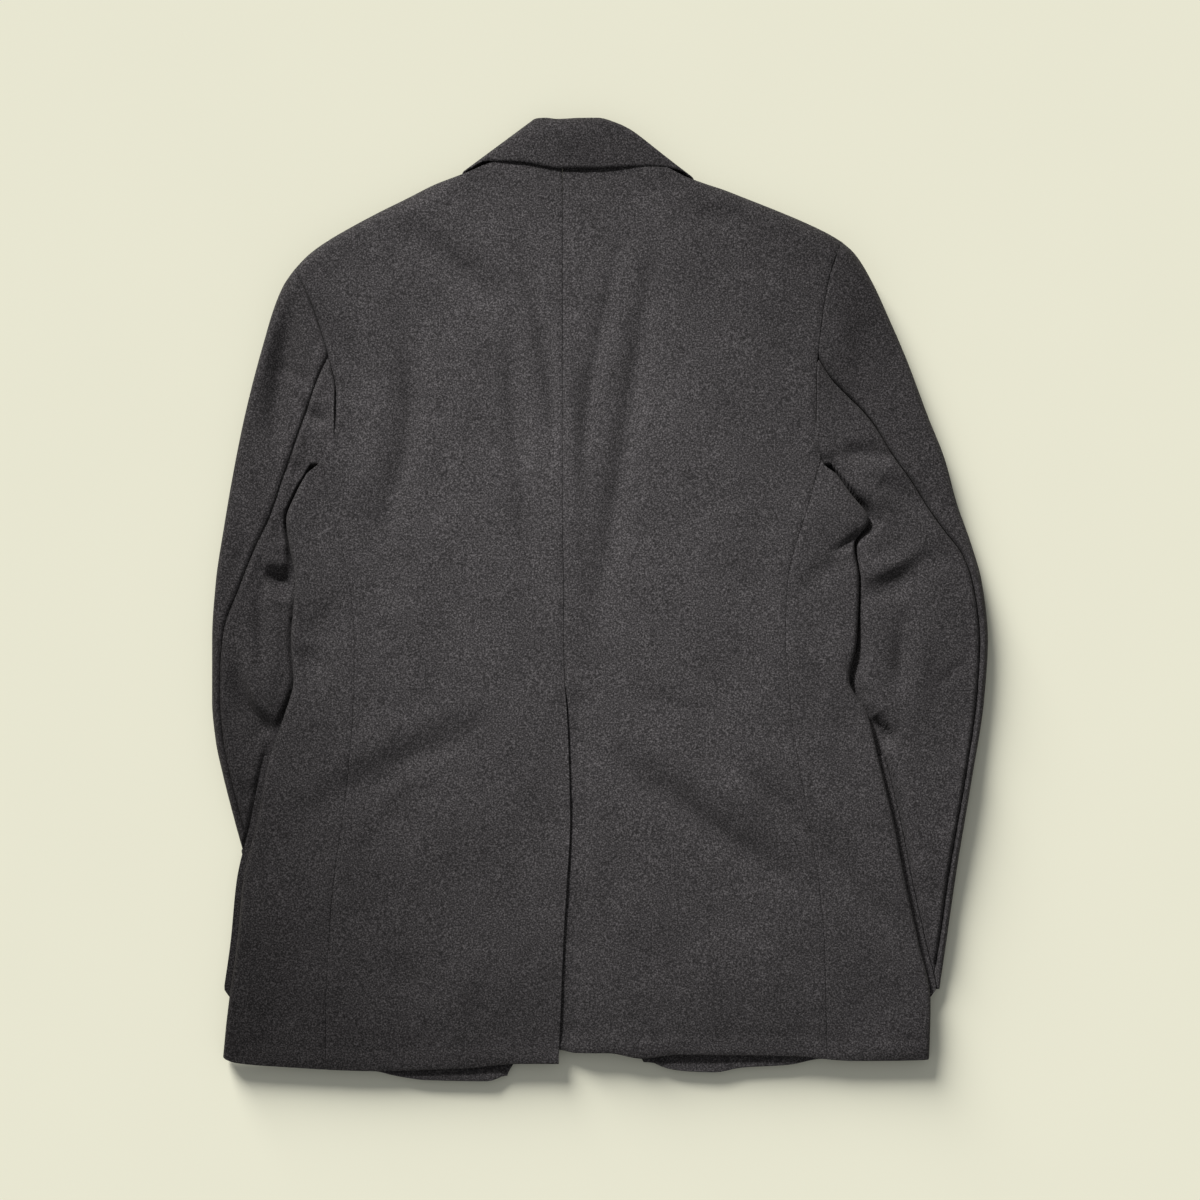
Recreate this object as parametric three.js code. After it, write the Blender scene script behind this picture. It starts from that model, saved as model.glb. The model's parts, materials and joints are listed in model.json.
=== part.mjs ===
// A men's tailored blazer in charcoal wool flannel, lying on its front so that its back shows.
// Millimetres. X runs across the jacket (its left side is at negative X), Y runs up it from the hem to the
// collar, and Z is the height above the surface that it lies on. The origin is at the middle of its
// outline, on that surface.
// Every piece of cloth is a thin closed wall. Its outer face is worked out from seam lines, which the short
// tables below give as named columns, from the height of the layers, and from a table of folds.

import * as THREE from 'three';

// Cloth and layers
const CLOTH = 1.6;
const SEAM_GAP = 0.3;
const LAYER_GAP = 0.4;
const LAYER = CLOTH + LAYER_GAP;
const SIDE_GAP = 0.6;
const ARMHOLE_GAP = 0.7;

// Heights of the flattened parts above the surface
const SLEEVE_HEIGHT = 6.4;
const OVER_SLEEVE = SLEEVE_HEIGHT + 2 * LAYER_GAP;
const BUTTON_THICKNESS = 3;
const BUTTON_DIAMETER = 21;
const BUTTON_EDGE = 0.9;
const BUTTON_RIM = 3.2;
const BUTTON_DISH = 0.5;
const FRONT_OVERLAP_HEIGHT = 8.4;
const RIGHT_LAPEL_HEIGHT = 5.8;

// Widths of the soft slopes beside what lies under a panel
const SLEEVE_MARGIN = 14;
const ARMHOLE_MARGIN = 12;
const LAPEL_MARGIN = 16;
const BREAK_MARGIN = 12;
const BUTTON_MARGIN = 6;
const OVERLAP_MARGIN = 14;
const SLOPE = 52;
const HEM_MARGIN = 13;
const HEM_SLOPE = 44;

// The back lies clear of what is under it: the fronts' walls and its own
const BACK_CLEARANCE = 2 * LAYER + 0.4 * CLOTH;
const SOFTNESS = 1.2;

// Across the middle, the back goes over from resting on the left front to resting on the right one
const LEFT_FRONT_ALONE = -80;
const RIGHT_FRONT_ALONE = 40;

// Beside the body's edge, the sleeve slopes down to slip under the body
const DIVE_START = 42;
const DIVE_END = 17;
const DIVE_BELOW_SEAM_TOP = 6;

// Roundness of the folded edges
const SHOULDER_ROLL = 13;
const SIDE_ROLL = 4.2;
const SLEEVE_ROLL = 7;
const SLEEVE_INNER_ROLL = 3.1;
const COLLAR_ROLL_POWER = 6;

// A quarter turn of a rolled edge is longer than its radius by this share of it
const ROLL_EXTRA = Math.PI / 2 - 1;

// The rounded shoulder edge turns into the flat seam of the neck over this width
const NECK_BLEND = 26;
const NECK_BLEND_START = 4;

// Rows and columns of the walls
const BACK_LENGTH = 740;
const ARMHOLE_LENGTH = 240;
const BACK_COLUMNS = 12;
const BACK_ROWS = { roll: 4, armhole: 15, below: 21 };
const FRONT_COLUMNS = 9;
const FRONT_ROWS = { roll: 3, armhole: 12, below: 16 };
const SIDE_TOP_COLUMNS = 3;
const SIDE_ROLL_COLUMNS = 4;
const SIDE_UNDER_COLUMNS = 3;
const SIDE_ROWS = 23;
const SIDE_WIDTH = 62;
const SLEEVE_WIDTH = 160;
const SLEEVE_HEAD_ROWS = 7;
const SLEEVE_HEAD_END = 0.13;
const SLEEVE_ROWS = 18;
const SLEEVE_UNDER_COLUMNS = 8;
const LAPEL_COLUMNS = 3;
const LAPEL_ROWS = 12;
const POCKET_COLUMNS = 6;
const POCKET_ROWS = 7;
const COLLAR_COLUMNS = 34;
const COLLAR_PLACES = [0, 0.3, 0.6, 0.8, 0.92, 0.98, 1];
const STAND_COLUMNS = 10;
const STAND_ROWS = 4;
const BUTTON_SIDES = 16;

// The hip pockets
const POCKET_WIDTH = 161;
const POCKET_PROUD = 6;
const POCKET_TOP = -129;
const POCKET_BOTTOM = -333;
const POCKET_CORNER = 14;
const POCKET_MARGIN = 30;

// The vent: where it opens, and how far the right panel runs under the left one
const VENT_TOP = -97;
const VENT_UNDERLAP = 38;
const VENT_SLANT = 36;
const VENT_DROP = 3.1;
const VENT_DROP_WIDTH = 26;
const VENT_DROP_FLAT = 6;

const CUFF_LEFT = -319.5;
const CUFF_RIGHT = -322;
const BREAK_Y = -40;
const UNDERARM_FOLD_Y = 103;

// Sections across the body below the armholes: the folded side edges and the seams of the back
const BODY = [
  { y: 116, edgeL: -235, seamL: -229, frontL: -191, mid: -31, frontR: 146, seamR: 182, edgeR: 186 },
  { y: 87, edgeL: -251.5, seamL: -224, frontL: -190.5, mid: -31, frontR: 146.5, seamR: 174, edgeR: 207.5 },
  { y: 66, edgeL: -259, seamL: -219, frontL: -190, mid: -30.5, frontR: 147, seamR: 168, edgeR: 222 },
  { y: 46, edgeL: -256.5, seamL: -213.5, frontL: -190, mid: -30.5, frontR: 147.5, seamR: 161.5, edgeR: 210 },
  { y: 17, edgeL: -251.5, seamL: -207, frontL: -190, mid: -30, frontR: 148, seamR: 155, edgeR: 214 },
  { y: -33, edgeL: -255, seamL: -202.5, frontL: -190.5, mid: -30, frontR: 149, seamR: 153, edgeR: 212 },
  { y: -66, edgeL: -253, seamL: -202.5, frontL: -193, mid: -29, frontR: 151, seamR: 155, edgeR: 206 },
  { y: -95, edgeL: -260.5, seamL: -203.5, frontL: -198, mid: -27, frontR: 156, seamR: 158, edgeR: 221 },
  { y: -133, edgeL: -273, seamL: -206.5, frontL: -207, mid: -25.5, frontR: 165, seamR: 163.5, edgeR: 230.5 },
  { y: -183, edgeL: -283, seamL: -212.5, frontL: -218, mid: -24.5, frontR: 177, seamR: 172.5, edgeR: 242.5 },
  { y: -232, edgeL: -294.5, seamL: -219.5, frontL: -228.5, mid: -27, frontR: 187.5, seamR: 180.5, edgeR: 252 },
  { y: -282, edgeL: -299.5, seamL: -223.5, frontL: -235.5, mid: -30, frontR: 198, seamR: 185, edgeR: 263 },
  { y: -332, edgeL: -306.5, seamL: -226, frontL: -241.5, mid: -32, frontR: 206, seamR: 186.5, edgeR: 273 },
  { y: -378, edgeL: -312, seamL: -226.5, frontL: -247, mid: -34, frontR: 208, seamR: 187.5, edgeR: 272.5 },
];

// The armhole seams, from the shoulder point down to the side-back seam, and the hidden ends at the front
const ARMHOLE_LEFT = [
  { y: 273, x: -252 },
  { y: 251, x: -240.5 },
  { y: 224, x: -230.5 },
  { y: 197.5, x: -223 },
  { y: 174, x: -218 },
  { y: 153.5, x: -218.5 },
  { y: 133, x: -223 },
  { y: 116, x: -229 },
];
const ARMHOLE_RIGHT = [
  { y: 296, x: 199 },
  { y: 269, x: 189.5 },
  { y: 241, x: 184 },
  { y: 211.5, x: 180.5 },
  { y: 187, x: 178.5 },
  { y: 158, x: 178.5 },
  { y: 133.5, x: 179.5 },
  { y: 116, x: 182 },
];
// Where the sleeve's upper layer leaves the seam and slips under the body
const SLEEVE_HEAD_LEFT = [
  { y: 140, x: -218.5 },
  { y: 124, x: -212 },
  { y: 112, x: -203 },
  { y: 99.5, x: -191 },
];
const SLEEVE_HEAD_RIGHT = [
  { y: 140, x: 178 },
  { y: 126, x: 172 },
  { y: 114, x: 160 },
  { y: 104, x: 145 },
];
const FRONT_ARMHOLE_LEFT = [
  { y: 273, x: -252 },
  { y: 241, x: -233 },
  { y: 199, x: -214 },
  { y: 158, x: -204 },
  { y: 124, x: -197 },
  { y: 99.5, x: -191 },
];
const FRONT_ARMHOLE_RIGHT = [
  { y: 296, x: 199 },
  { y: 262, x: 182 },
  { y: 215, x: 165 },
  { y: 170, x: 155 },
  { y: 130, x: 149 },
  { y: 104, x: 145 },
];

// The shoulder lines, from the collar to the shoulder point, and the seam of the neck
const SHOULDER_LEFT = [
  { x: -108, y: 353.5 },
  { x: -133, y: 345 },
  { x: -159, y: 332 },
  { x: -184, y: 319.5 },
  { x: -207, y: 307 },
  { x: -227, y: 295 },
  { x: -241, y: 284.5 },
  { x: -252, y: 273 },
];
const SHOULDER_RIGHT = [
  { x: 71.5, y: 348.5 },
  { x: 99.5, y: 340 },
  { x: 120, y: 332 },
  { x: 151, y: 319.5 },
  { x: 175, y: 309 },
  { x: 189, y: 302 },
  { x: 199, y: 296 },
];
const NECK = [
  { x: -108, y: 353.5 },
  { x: -92, y: 360.5 },
  { x: -66, y: 366 },
  { x: -31, y: 367.5 },
  { x: 10, y: 366 },
  { x: 45, y: 361 },
  { x: 71.5, y: 348.5 },
];

// The sleeves' outer and inner folds. The inner line runs on above the armhole as a guide only.
const SLEEVE_OUTER_LEFT = [
  { y: 273, x: -252 },
  { y: 260, x: -261 },
  { y: 239, x: -270 },
  { y: 213, x: -278 },
  { y: 182.5, x: -286.5 },
  { y: 149.5, x: -294.5 },
  { y: 115.5, x: -301.5 },
  { y: 58, x: -311.5 },
  { y: 14, x: -318 },
  { y: -33, x: -321 },
  { y: -83, x: -321 },
  { y: -116, x: -318 },
  { y: -144.5, x: -312 },
  { y: -180, x: -303 },
  { y: -249, x: -284.5 },
  { y: -320, x: -270 },
];
const SLEEVE_OUTER_RIGHT = [
  { y: 296, x: 199 },
  { y: 286, x: 210 },
  { y: 264, x: 224 },
  { y: 232.5, x: 239 },
  { y: 201.5, x: 252.5 },
  { y: 151, x: 271.5 },
  { y: 117, x: 285 },
  { y: 79, x: 295.5 },
  { y: 46.5, x: 307 },
  { y: 14, x: 316 },
  { y: -33, x: 321 },
  { y: -81, x: 318 },
  { y: -152, x: 307 },
  { y: -221.5, x: 295.5 },
  { y: -291, x: 285.5 },
  { y: -322, x: 281 },
];
const SLEEVE_INNER_LEFT = [
  { y: 273, x: -148 },
  { y: 182.5, x: -170 },
  { y: 99.5, x: -191 },
  { y: 58, x: -166 },
  { y: 0, x: -147 },
  { y: -83, x: -145 },
  { y: -166, x: -141 },
  { y: -249, x: -133 },
  { y: -320, x: -129 },
];
const SLEEVE_INNER_RIGHT = [
  { y: 296, x: 95 },
  { y: 182.5, x: 120 },
  { y: 104, x: 145 },
  { y: 58, x: 130 },
  { y: 0, x: 126 },
  { y: -83, x: 141 },
  { y: -166, x: 146 },
  { y: -249, x: 145 },
  { y: -322, x: 141 },
];

// The sleeves' back seam, as its distance in from the outer fold, and the height of the cloth over the arm
const SLEEVE_SECTIONS_LEFT = [
  { down: 0, backSeam: 80, height: 19 },
  { down: 0.06, backSeam: 73, height: 18 },
  { down: 0.12, backSeam: 70, height: 17 },
  { down: 0.2, backSeam: 64, height: 16.4 },
  { down: 0.25, backSeam: 57, height: 16 },
  { down: 0.3, backSeam: 46, height: 15.7 },
  { down: 0.37, backSeam: 30, height: 15.2 },
  { down: 0.44, backSeam: 18, height: 14.8 },
  { down: 0.5, backSeam: 9, height: 14.6 },
  { down: 0.56, backSeam: 6.5, height: 14.7 },
  { down: 0.62, backSeam: 6.5, height: 15 },
  { down: 0.75, backSeam: 6, height: 15 },
  { down: 0.88, backSeam: 7, height: 13 },
  { down: 1, backSeam: 8, height: 11 },
];
const SLEEVE_SECTIONS_RIGHT = [
  { down: 0, backSeam: 86, height: 20 },
  { down: 0.06, backSeam: 79, height: 19 },
  { down: 0.1, backSeam: 72, height: 18.4 },
  { down: 0.19, backSeam: 55, height: 17.5 },
  { down: 0.24, backSeam: 49, height: 17 },
  { down: 0.33, backSeam: 28, height: 16.3 },
  { down: 0.38, backSeam: 17, height: 15.8 },
  { down: 0.42, backSeam: 8.5, height: 15.6 },
  { down: 0.47, backSeam: 6.5, height: 15.4 },
  { down: 0.53, backSeam: 6, height: 15 },
  { down: 0.7, backSeam: 6, height: 15 },
  { down: 0.85, backSeam: 7, height: 14 },
  { down: 1, backSeam: 7, height: 12 },
];

// The hems, side to centre, and the hems of the fronts with their rounded quarters
const BACK_HEM = [
  { x: -312, y: -377.5 },
  { x: -300, y: -382.5 },
  { x: -262, y: -386 },
  { x: -188, y: -389.5 },
  { x: -115, y: -387.5 },
  { x: -66, y: -383.5 },
  { x: -35.5, y: -383.5 },
];
const BACK_HEM_RIGHT = [
  { x: -75, y: -374 },
  { x: -34, y: -372 },
  { x: -21, y: -374.5 },
  { x: 7, y: -374.5 },
  { x: 34, y: -379 },
  { x: 63, y: -376 },
  { x: 156, y: -377 },
  { x: 211, y: -381 },
  { x: 270, y: -380 },
  { x: 273, y: -376 },
];
const FRONT_HEM_LEFT = [
  { x: -312, y: -378 },
  { x: -257, y: -387 },
  { x: -188, y: -390 },
  { x: -166, y: -394.5 },
  { x: -143, y: -397.5 },
  { x: -93, y: -398.4 },
  { x: -80, y: -394 },
];
const FRONT_HEM_RIGHT = [
  { x: 44, y: -383 },
  { x: 55, y: -387.5 },
  { x: 70, y: -390 },
  { x: 95, y: -391 },
  { x: 117, y: -387 },
  { x: 156, y: -384.5 },
  { x: 183, y: -379.5 },
  { x: 273, y: -379 },
];

// The roll line of each lapel and the front edge below it, and the width of the lapel beside it
const FRONT_EDGE = [
  { y: 353.5, left: -108, right: 71.5, lapel: 54 },
  { y: 292, left: -76, right: 31, lapel: 66 },
  { y: 250, left: -67, right: 22, lapel: 88 },
  { y: 150, left: -46, right: 1, lapel: 71 },
  { y: 50, left: -24, right: -20, lapel: 38 },
  { y: -40, left: -2, right: -41, lapel: 14 },
  { y: -130, left: -1, right: -41, lapel: 14 },
  { y: -208, left: -8, right: -30, lapel: 14 },
  { y: -274, left: -24, right: -10, lapel: 14 },
  { y: -332, left: -46, right: 10, lapel: 14 },
  { y: -372, left: -64, right: 30, lapel: 14 },
  { y: -392, left: -77, right: 42, lapel: 14 },
];
const LAPEL_TOP = 291;
const LAPEL_TIP = 259;
const LAPEL_BOTTOM = BREAK_Y + 4;

// Height of the back above the surface, before its folds: at the centre, over the blades and at the sides
const BACK_HEIGHTS = [
  { y: 368, centre: 11, blade: 13, side: 16 },
  { y: 335, centre: 15, blade: 20, side: 23 },
  { y: 275, centre: 17.5, blade: 24, side: 26.5 },
  { y: 180, centre: 18, blade: 21.5, side: 22.5 },
  { y: 80, centre: 18, blade: 20, side: 19.5 },
  { y: -60, centre: 18, blade: 19.5, side: 18.5 },
  { y: -180, centre: 18, blade: 19.5, side: 18.5 },
  { y: -320, centre: 16.5, blade: 17.5, side: 16.5 },
  { y: -398, centre: 9.5, blade: 9.5, side: 9.5 },
];
const BLADE_AT = 110;
const SIDE_AT = 225;

// The largest folds of the back and of the sleeves: a line from one end over its middle to the other end,
// the half width, and the height of a ridge or, below zero, the depth of a trough
const BODY_FOLDS = [
  { name: 'left shoulder', x1: -166, y1: 312, x2: -122, y2: 276, x3: -80, y3: 241, width: 13, height: -4 },
  { name: 'shoulder rise', x1: -148, y1: 326, x2: -104, y2: 294, x3: -62, y3: 262, width: 13, height: 2 },
  { name: 'left blade', x1: -167, y1: 240, x2: -156, y2: 150, x3: -186, y3: 44, width: 13, height: -4.5 },
  { name: 'left blade rise', x1: -192, y1: 236, x2: -182, y2: 150, x3: -208, y3: 70, width: 12, height: 2 },
  { name: 'left armhole', x1: -242, y1: 248, x2: -210, y2: 206, x3: -178, y3: 168, width: 10, height: -3 },
  { name: 'centre left inner', x1: -69, y1: 298, x2: -46, y2: 212, x3: -36, y3: 122, width: 8, height: -3 },
  { name: 'centre left outer', x1: -74, y1: 232, x2: -67, y2: 120, x3: -50, y3: 0, width: 10, height: -3.5 },
  { name: 'centre rise', x1: -24, y1: 230, x2: -24, y2: 140, x3: -24, y3: 50, width: 9, height: 2.5 },
  { name: 'centre right', x1: 20, y1: 298, x2: -4, y2: 193, x3: -14, y3: 100, width: 9, height: -3 },
  { name: 'right long', x1: 44, y1: 290, x2: 25, y2: 155, x3: -3, y3: -20, width: 12, height: -4.5 },
  { name: 'left waist rise', x1: -88, y1: -82, x2: -174, y2: -112, x3: -256, y3: -162, width: 14, height: 3 },
  { name: 'left waist', x1: -88, y1: -107, x2: -178, y2: -143, x3: -256, y3: -194, width: 13, height: -4.5 },
  { name: 'right waist rise', x1: 20, y1: -96, x2: 104, y2: -160, x3: 188, y3: -212, width: 15, height: 3 },
  { name: 'right waist', x1: 3, y1: -118, x2: 84, y2: -184, x3: 170, y3: -240, width: 14, height: -4.5 },
  { name: 'side rise', x1: 142, y1: -122, x2: 200, y2: -180, x3: 252, y3: -258, width: 12, height: 2.5 },
  { name: 'right side', x1: 122, y1: -140, x2: 180, y2: -203, x3: 246, y3: -282, width: 12, height: -4 },
  { name: 'left side', x1: -214, y1: 0, x2: -232, y2: -40, x3: -252, y3: -74, width: 13, height: -3.5 },
  { name: 'right side top', x1: 162, y1: 0, x2: 184, y2: 23, x3: 208, y3: 33, width: 9, height: -3 },
  { name: 'right side low', x1: 160, y1: -50, x2: 186, y2: -84, x3: 212, y3: -118, width: 10, height: -3 },
  { name: 'left hem', x1: -218, y1: -308, x2: -180, y2: -311, x3: -142, y3: -316, width: 18, height: -2.5 },
  { name: 'hem inner', x1: -88, y1: -298, x2: -100, y2: -328, x3: -116, y3: -358, width: 12, height: -2.5 },
  { name: 'vent side', x1: -18, y1: -244, x2: -3, y2: -304, x3: 14, y3: -360, width: 10, height: -2.5 },
  { name: 'right corner', x1: 148, y1: -316, x2: 163, y2: -338, x3: 178, y3: -362, width: 13, height: -2.5 },
  { name: 'right neck', x1: 26, y1: 338, x2: 46, y2: 340, x3: 70, y3: 337, width: 9, height: -2.5 },
  { name: 'right shoulder', x1: 80, y1: 314, x2: 102, y2: 315, x3: 128, y3: 311, width: 10, height: -2.5 },
];
const SLEEVE_FOLDS = [
  { name: 'left upper', x1: -252, y1: 236, x2: -267, y2: 178, x3: -268, y3: 118, width: 10, height: -4 },
  { name: 'left elbow', x1: -282, y1: 14, x2: -267, y2: 10, x3: -251, y3: 6, width: 9, height: -4 },
  { name: 'left elbow rise', x1: -280, y1: 32, x2: -266, y2: 28, x3: -254, y3: 22, width: 9, height: 3 },
  { name: 'left forearm', x1: -301, y1: -50, x2: -294, y2: -90, x3: -266, y3: -116, width: 9, height: -5 },
  { name: 'left forearm rise', x1: -287, y1: -40, x2: -279, y2: -74, x3: -262, y3: -92, width: 9, height: 3 },
  { name: 'right upper', x1: 200, y1: 122, x2: 222, y2: 121, x3: 244, y3: 117, width: 9, height: -3.5 },
  { name: 'right upper slant', x1: 232, y1: 102, x2: 252, y2: 88, x3: 272, y3: 70, width: 10, height: -3 },
  { name: 'right elbow rise', x1: 214, y1: 24, x2: 246, y2: 30, x3: 266, y3: 46, width: 9, height: 4 },
  { name: 'right elbow', x1: 214, y1: 8, x2: 240, y2: 12, x3: 266, y3: 32, width: 9, height: -5 },
  { name: 'right forearm', x1: 250, y1: -12, x2: 249, y2: -44, x3: 247, y3: -76, width: 10, height: -3 },
  { name: 'right hollow', x1: 224, y1: -98, x2: 234, y2: -108, x3: 245, y3: -118, width: 11, height: -4 },
];

// The collar, a row for each section along it from the left front end, round the back of the neck, to the
// right front end: its free edge, its roll edge, their heights, and how far its middle rises between them
const COLLAR = [
  { edgeX: -133, edgeY: 272, edgeZ: 0, rollX: -80, rollY: 296, rollZ: 0, rise: 0 },
  { edgeX: -129, edgeY: 300, edgeZ: 0, rollX: -72, rollY: 332, rollZ: 0, rise: 0 },
  { edgeX: -122, edgeY: 330, edgeZ: 0, rollX: -63, rollY: 366, rollZ: 0, rise: 0 },
  { edgeX: -116, edgeY: 349, edgeZ: 1.4, rollX: -58, rollY: 390, rollZ: 1.4, rise: 0 },
  { edgeX: -113, edgeY: 356.5, edgeZ: 9, rollX: -55.5, rollY: 397, rollZ: 9, rise: 0 },
  { edgeX: -107, edgeY: 359, edgeZ: 15, rollX: -52, rollY: 398, rollZ: 11.5, rise: 1.5 },
  { edgeX: -93, edgeY: 364.5, edgeZ: 17, rollX: -45, rollY: 398.4, rollZ: 12, rise: 2.5 },
  { edgeX: -66, edgeY: 364.5, edgeZ: 17, rollX: -34, rollY: 398, rollZ: 12, rise: 3.5 },
  { edgeX: -32, edgeY: 358, edgeZ: 16.5, rollX: -18, rollY: 398, rollZ: 12, rise: 4 },
  { edgeX: -5, edgeY: 357.5, edgeZ: 16.5, rollX: -2, rollY: 398.4, rollZ: 12, rise: 4 },
  { edgeX: 37, edgeY: 360, edgeZ: 17, rollX: 14, rollY: 394, rollZ: 12, rise: 3.5 },
  { edgeX: 62, edgeY: 357, edgeZ: 17, rollX: 26, rollY: 388, rollZ: 12, rise: 2.5 },
  { edgeX: 73, edgeY: 353, edgeZ: 15, rollX: 36, rollY: 380, rollZ: 11.5, rise: 1.5 },
  { edgeX: 77.5, edgeY: 349.5, edgeZ: 9, rollX: 40, rollY: 375.5, rollZ: 9, rise: 0 },
  { edgeX: 79.5, edgeY: 342, edgeZ: 1.4, rollX: 39.5, rollY: 368, rollZ: 1.4, rise: 0 },
  { edgeX: 83, edgeY: 326, edgeZ: 0, rollX: 37, rollY: 346, rollZ: 0, rise: 0 },
  { edgeX: 87, edgeY: 299, edgeZ: 0, rollX: 34, rollY: 322, rollZ: 0, rise: 0 },
  { edgeX: 90, edgeY: 272, edgeZ: 0, rollX: 34, rollY: 296, rollZ: 0, rise: 0 },
];

const COLLAR_RISE_FULL = 1.5;

// The collar's stand, from its left end to its right one: its roll edge and its place on the neck seam
const STAND = [
  { rollX: -50, rollY: 395, neckX: -88 },
  { rollX: -15, rollY: 395, neckX: -16 },
  { rollX: 20, rollY: 385, neckX: 56 },
];
const STAND_ROLL_Z = 9;

const BUTTONS = [
  { name: 'button_upper', x: -21, y: -74 },
  { name: 'button_lower', x: -21, y: -178 },
];

const lerp = (a, b, t) => a + (b - a) * t;
const clamp = (x, low, high) => Math.min(high, Math.max(low, x));

function smooth(from, to, x) {
  const t = clamp((x - from) / (to - from), 0, 1);
  return t * t * (3 - 2 * t);
}

// A smooth curve through the rows of a table: the column `to` as a function of the column `from`.
// It never overshoots its rows, and stays level beyond the first and last one.
function follow(rows, from, to) {
  const sorted = [...rows].sort((a, b) => a[from] - b[from]);
  const at = sorted.map((row) => row[from]);
  const value = sorted.map((row) => row[to]);
  const last = at.length - 1;
  const steep = at.slice(1).map((x, i) => (value[i + 1] - value[i]) / (x - at[i]));
  const slope = at.map((x, i) => {
    if (i === 0) return steep[0];
    if (i === last) return steep[last - 1];
    if (steep[i - 1] * steep[i] <= 0) return 0;
    const before = at[i] - at[i - 1];
    const after = at[i + 1] - at[i];
    const weightBefore = 2 * after + before;
    const weightAfter = after + 2 * before;
    return (weightBefore + weightAfter) / (weightBefore / steep[i - 1] + weightAfter / steep[i]);
  });
  return (x) => {
    if (x <= at[0]) return value[0];
    if (x >= at[last]) return value[last];
    let i = 0;
    while (x > at[i + 1]) i += 1;
    const step = at[i + 1] - at[i];
    const t = (x - at[i]) / step;
    const near = (1 + 2 * t) * (1 - t) * (1 - t) * value[i] + t * (1 - t) * (1 - t) * step * slope[i];
    const far = t * t * (3 - 2 * t) * value[i + 1] - t * t * (1 - t) * step * slope[i + 1];
    return near + far;
  };
}

// The end of a panel, given as a line of points, as the Y of that line at each share of the panel's width
function endByShare(points, left, right) {
  const rows = points.map(([x, y]) => ({ share: (x - left(y)) / (right(y) - left(y)), y }));
  rows.sort((a, b) => a.share - b.share);
  return (share) => {
    if (share <= rows[0].share) return rows[0].y;
    for (let i = 1; i < rows.length; i += 1) {
      if (share <= rows[i].share) {
        const t = (share - rows[i - 1].share) / (rows[i].share - rows[i - 1].share);
        return lerp(rows[i - 1].y, rows[i].y, t);
      }
    }
    return rows[rows.length - 1].y;
  };
}

const LINE_STEPS = 160;

function pointsAlongX(rows) {
  const y = follow(rows, 'x', 'y');
  const xs = rows.map((row) => row.x);
  const low = Math.min(...xs);
  const high = Math.max(...xs);
  return Array.from({ length: LINE_STEPS + 1 }, (_, i) => {
    const x = lerp(low, high, i / LINE_STEPS);
    return [x, y(x)];
  });
}

function pointsAlongY(line, high, low) {
  return Array.from({ length: LINE_STEPS + 1 }, (_, i) => {
    const y = lerp(high, low, i / LINE_STEPS);
    return [line(y), y];
  });
}

// A fold raises or sinks the cloth beside a curved line, and fades out at both ends
const FOLD_STEPS = 14;

function foldField(folds) {
  const lines = folds.map((fold) => {
    const points = Array.from({ length: FOLD_STEPS + 1 }, (_, i) => {
      const t = i / FOLD_STEPS;
      const midX = 2 * fold.x2 - (fold.x1 + fold.x3) / 2;
      const midY = 2 * fold.y2 - (fold.y1 + fold.y3) / 2;
      const x = (1 - t) * (1 - t) * fold.x1 + 2 * t * (1 - t) * midX + t * t * fold.x3;
      const y = (1 - t) * (1 - t) * fold.y1 + 2 * t * (1 - t) * midY + t * t * fold.y3;
      return [x, y];
    });
    return { fold, points };
  });
  return (x, y) => {
    let total = 0;
    for (const { fold, points } of lines) {
      let nearest = Infinity;
      let along = 0;
      for (let i = 0; i < FOLD_STEPS; i += 1) {
        const [ax, ay] = points[i];
        const [bx, by] = points[i + 1];
        const length2 = (bx - ax) ** 2 + (by - ay) ** 2;
        const t = clamp(((x - ax) * (bx - ax) + (y - ay) * (by - ay)) / length2, 0, 1);
        const distance = Math.hypot(x - lerp(ax, bx, t), y - lerp(ay, by, t));
        if (distance < nearest) {
          nearest = distance;
          along = (i + t) / FOLD_STEPS;
        }
      }
      const fade = Math.sin(Math.PI * clamp(along, 0.02, 0.98)) ** 0.6;
      total += fold.height * fade * Math.exp(-((nearest / fold.width) ** 2));
    }
    return total;
  };
}

const bodyFolds = foldField(BODY_FOLDS);
const sleeveFolds = foldField(SLEEVE_FOLDS);

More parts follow.
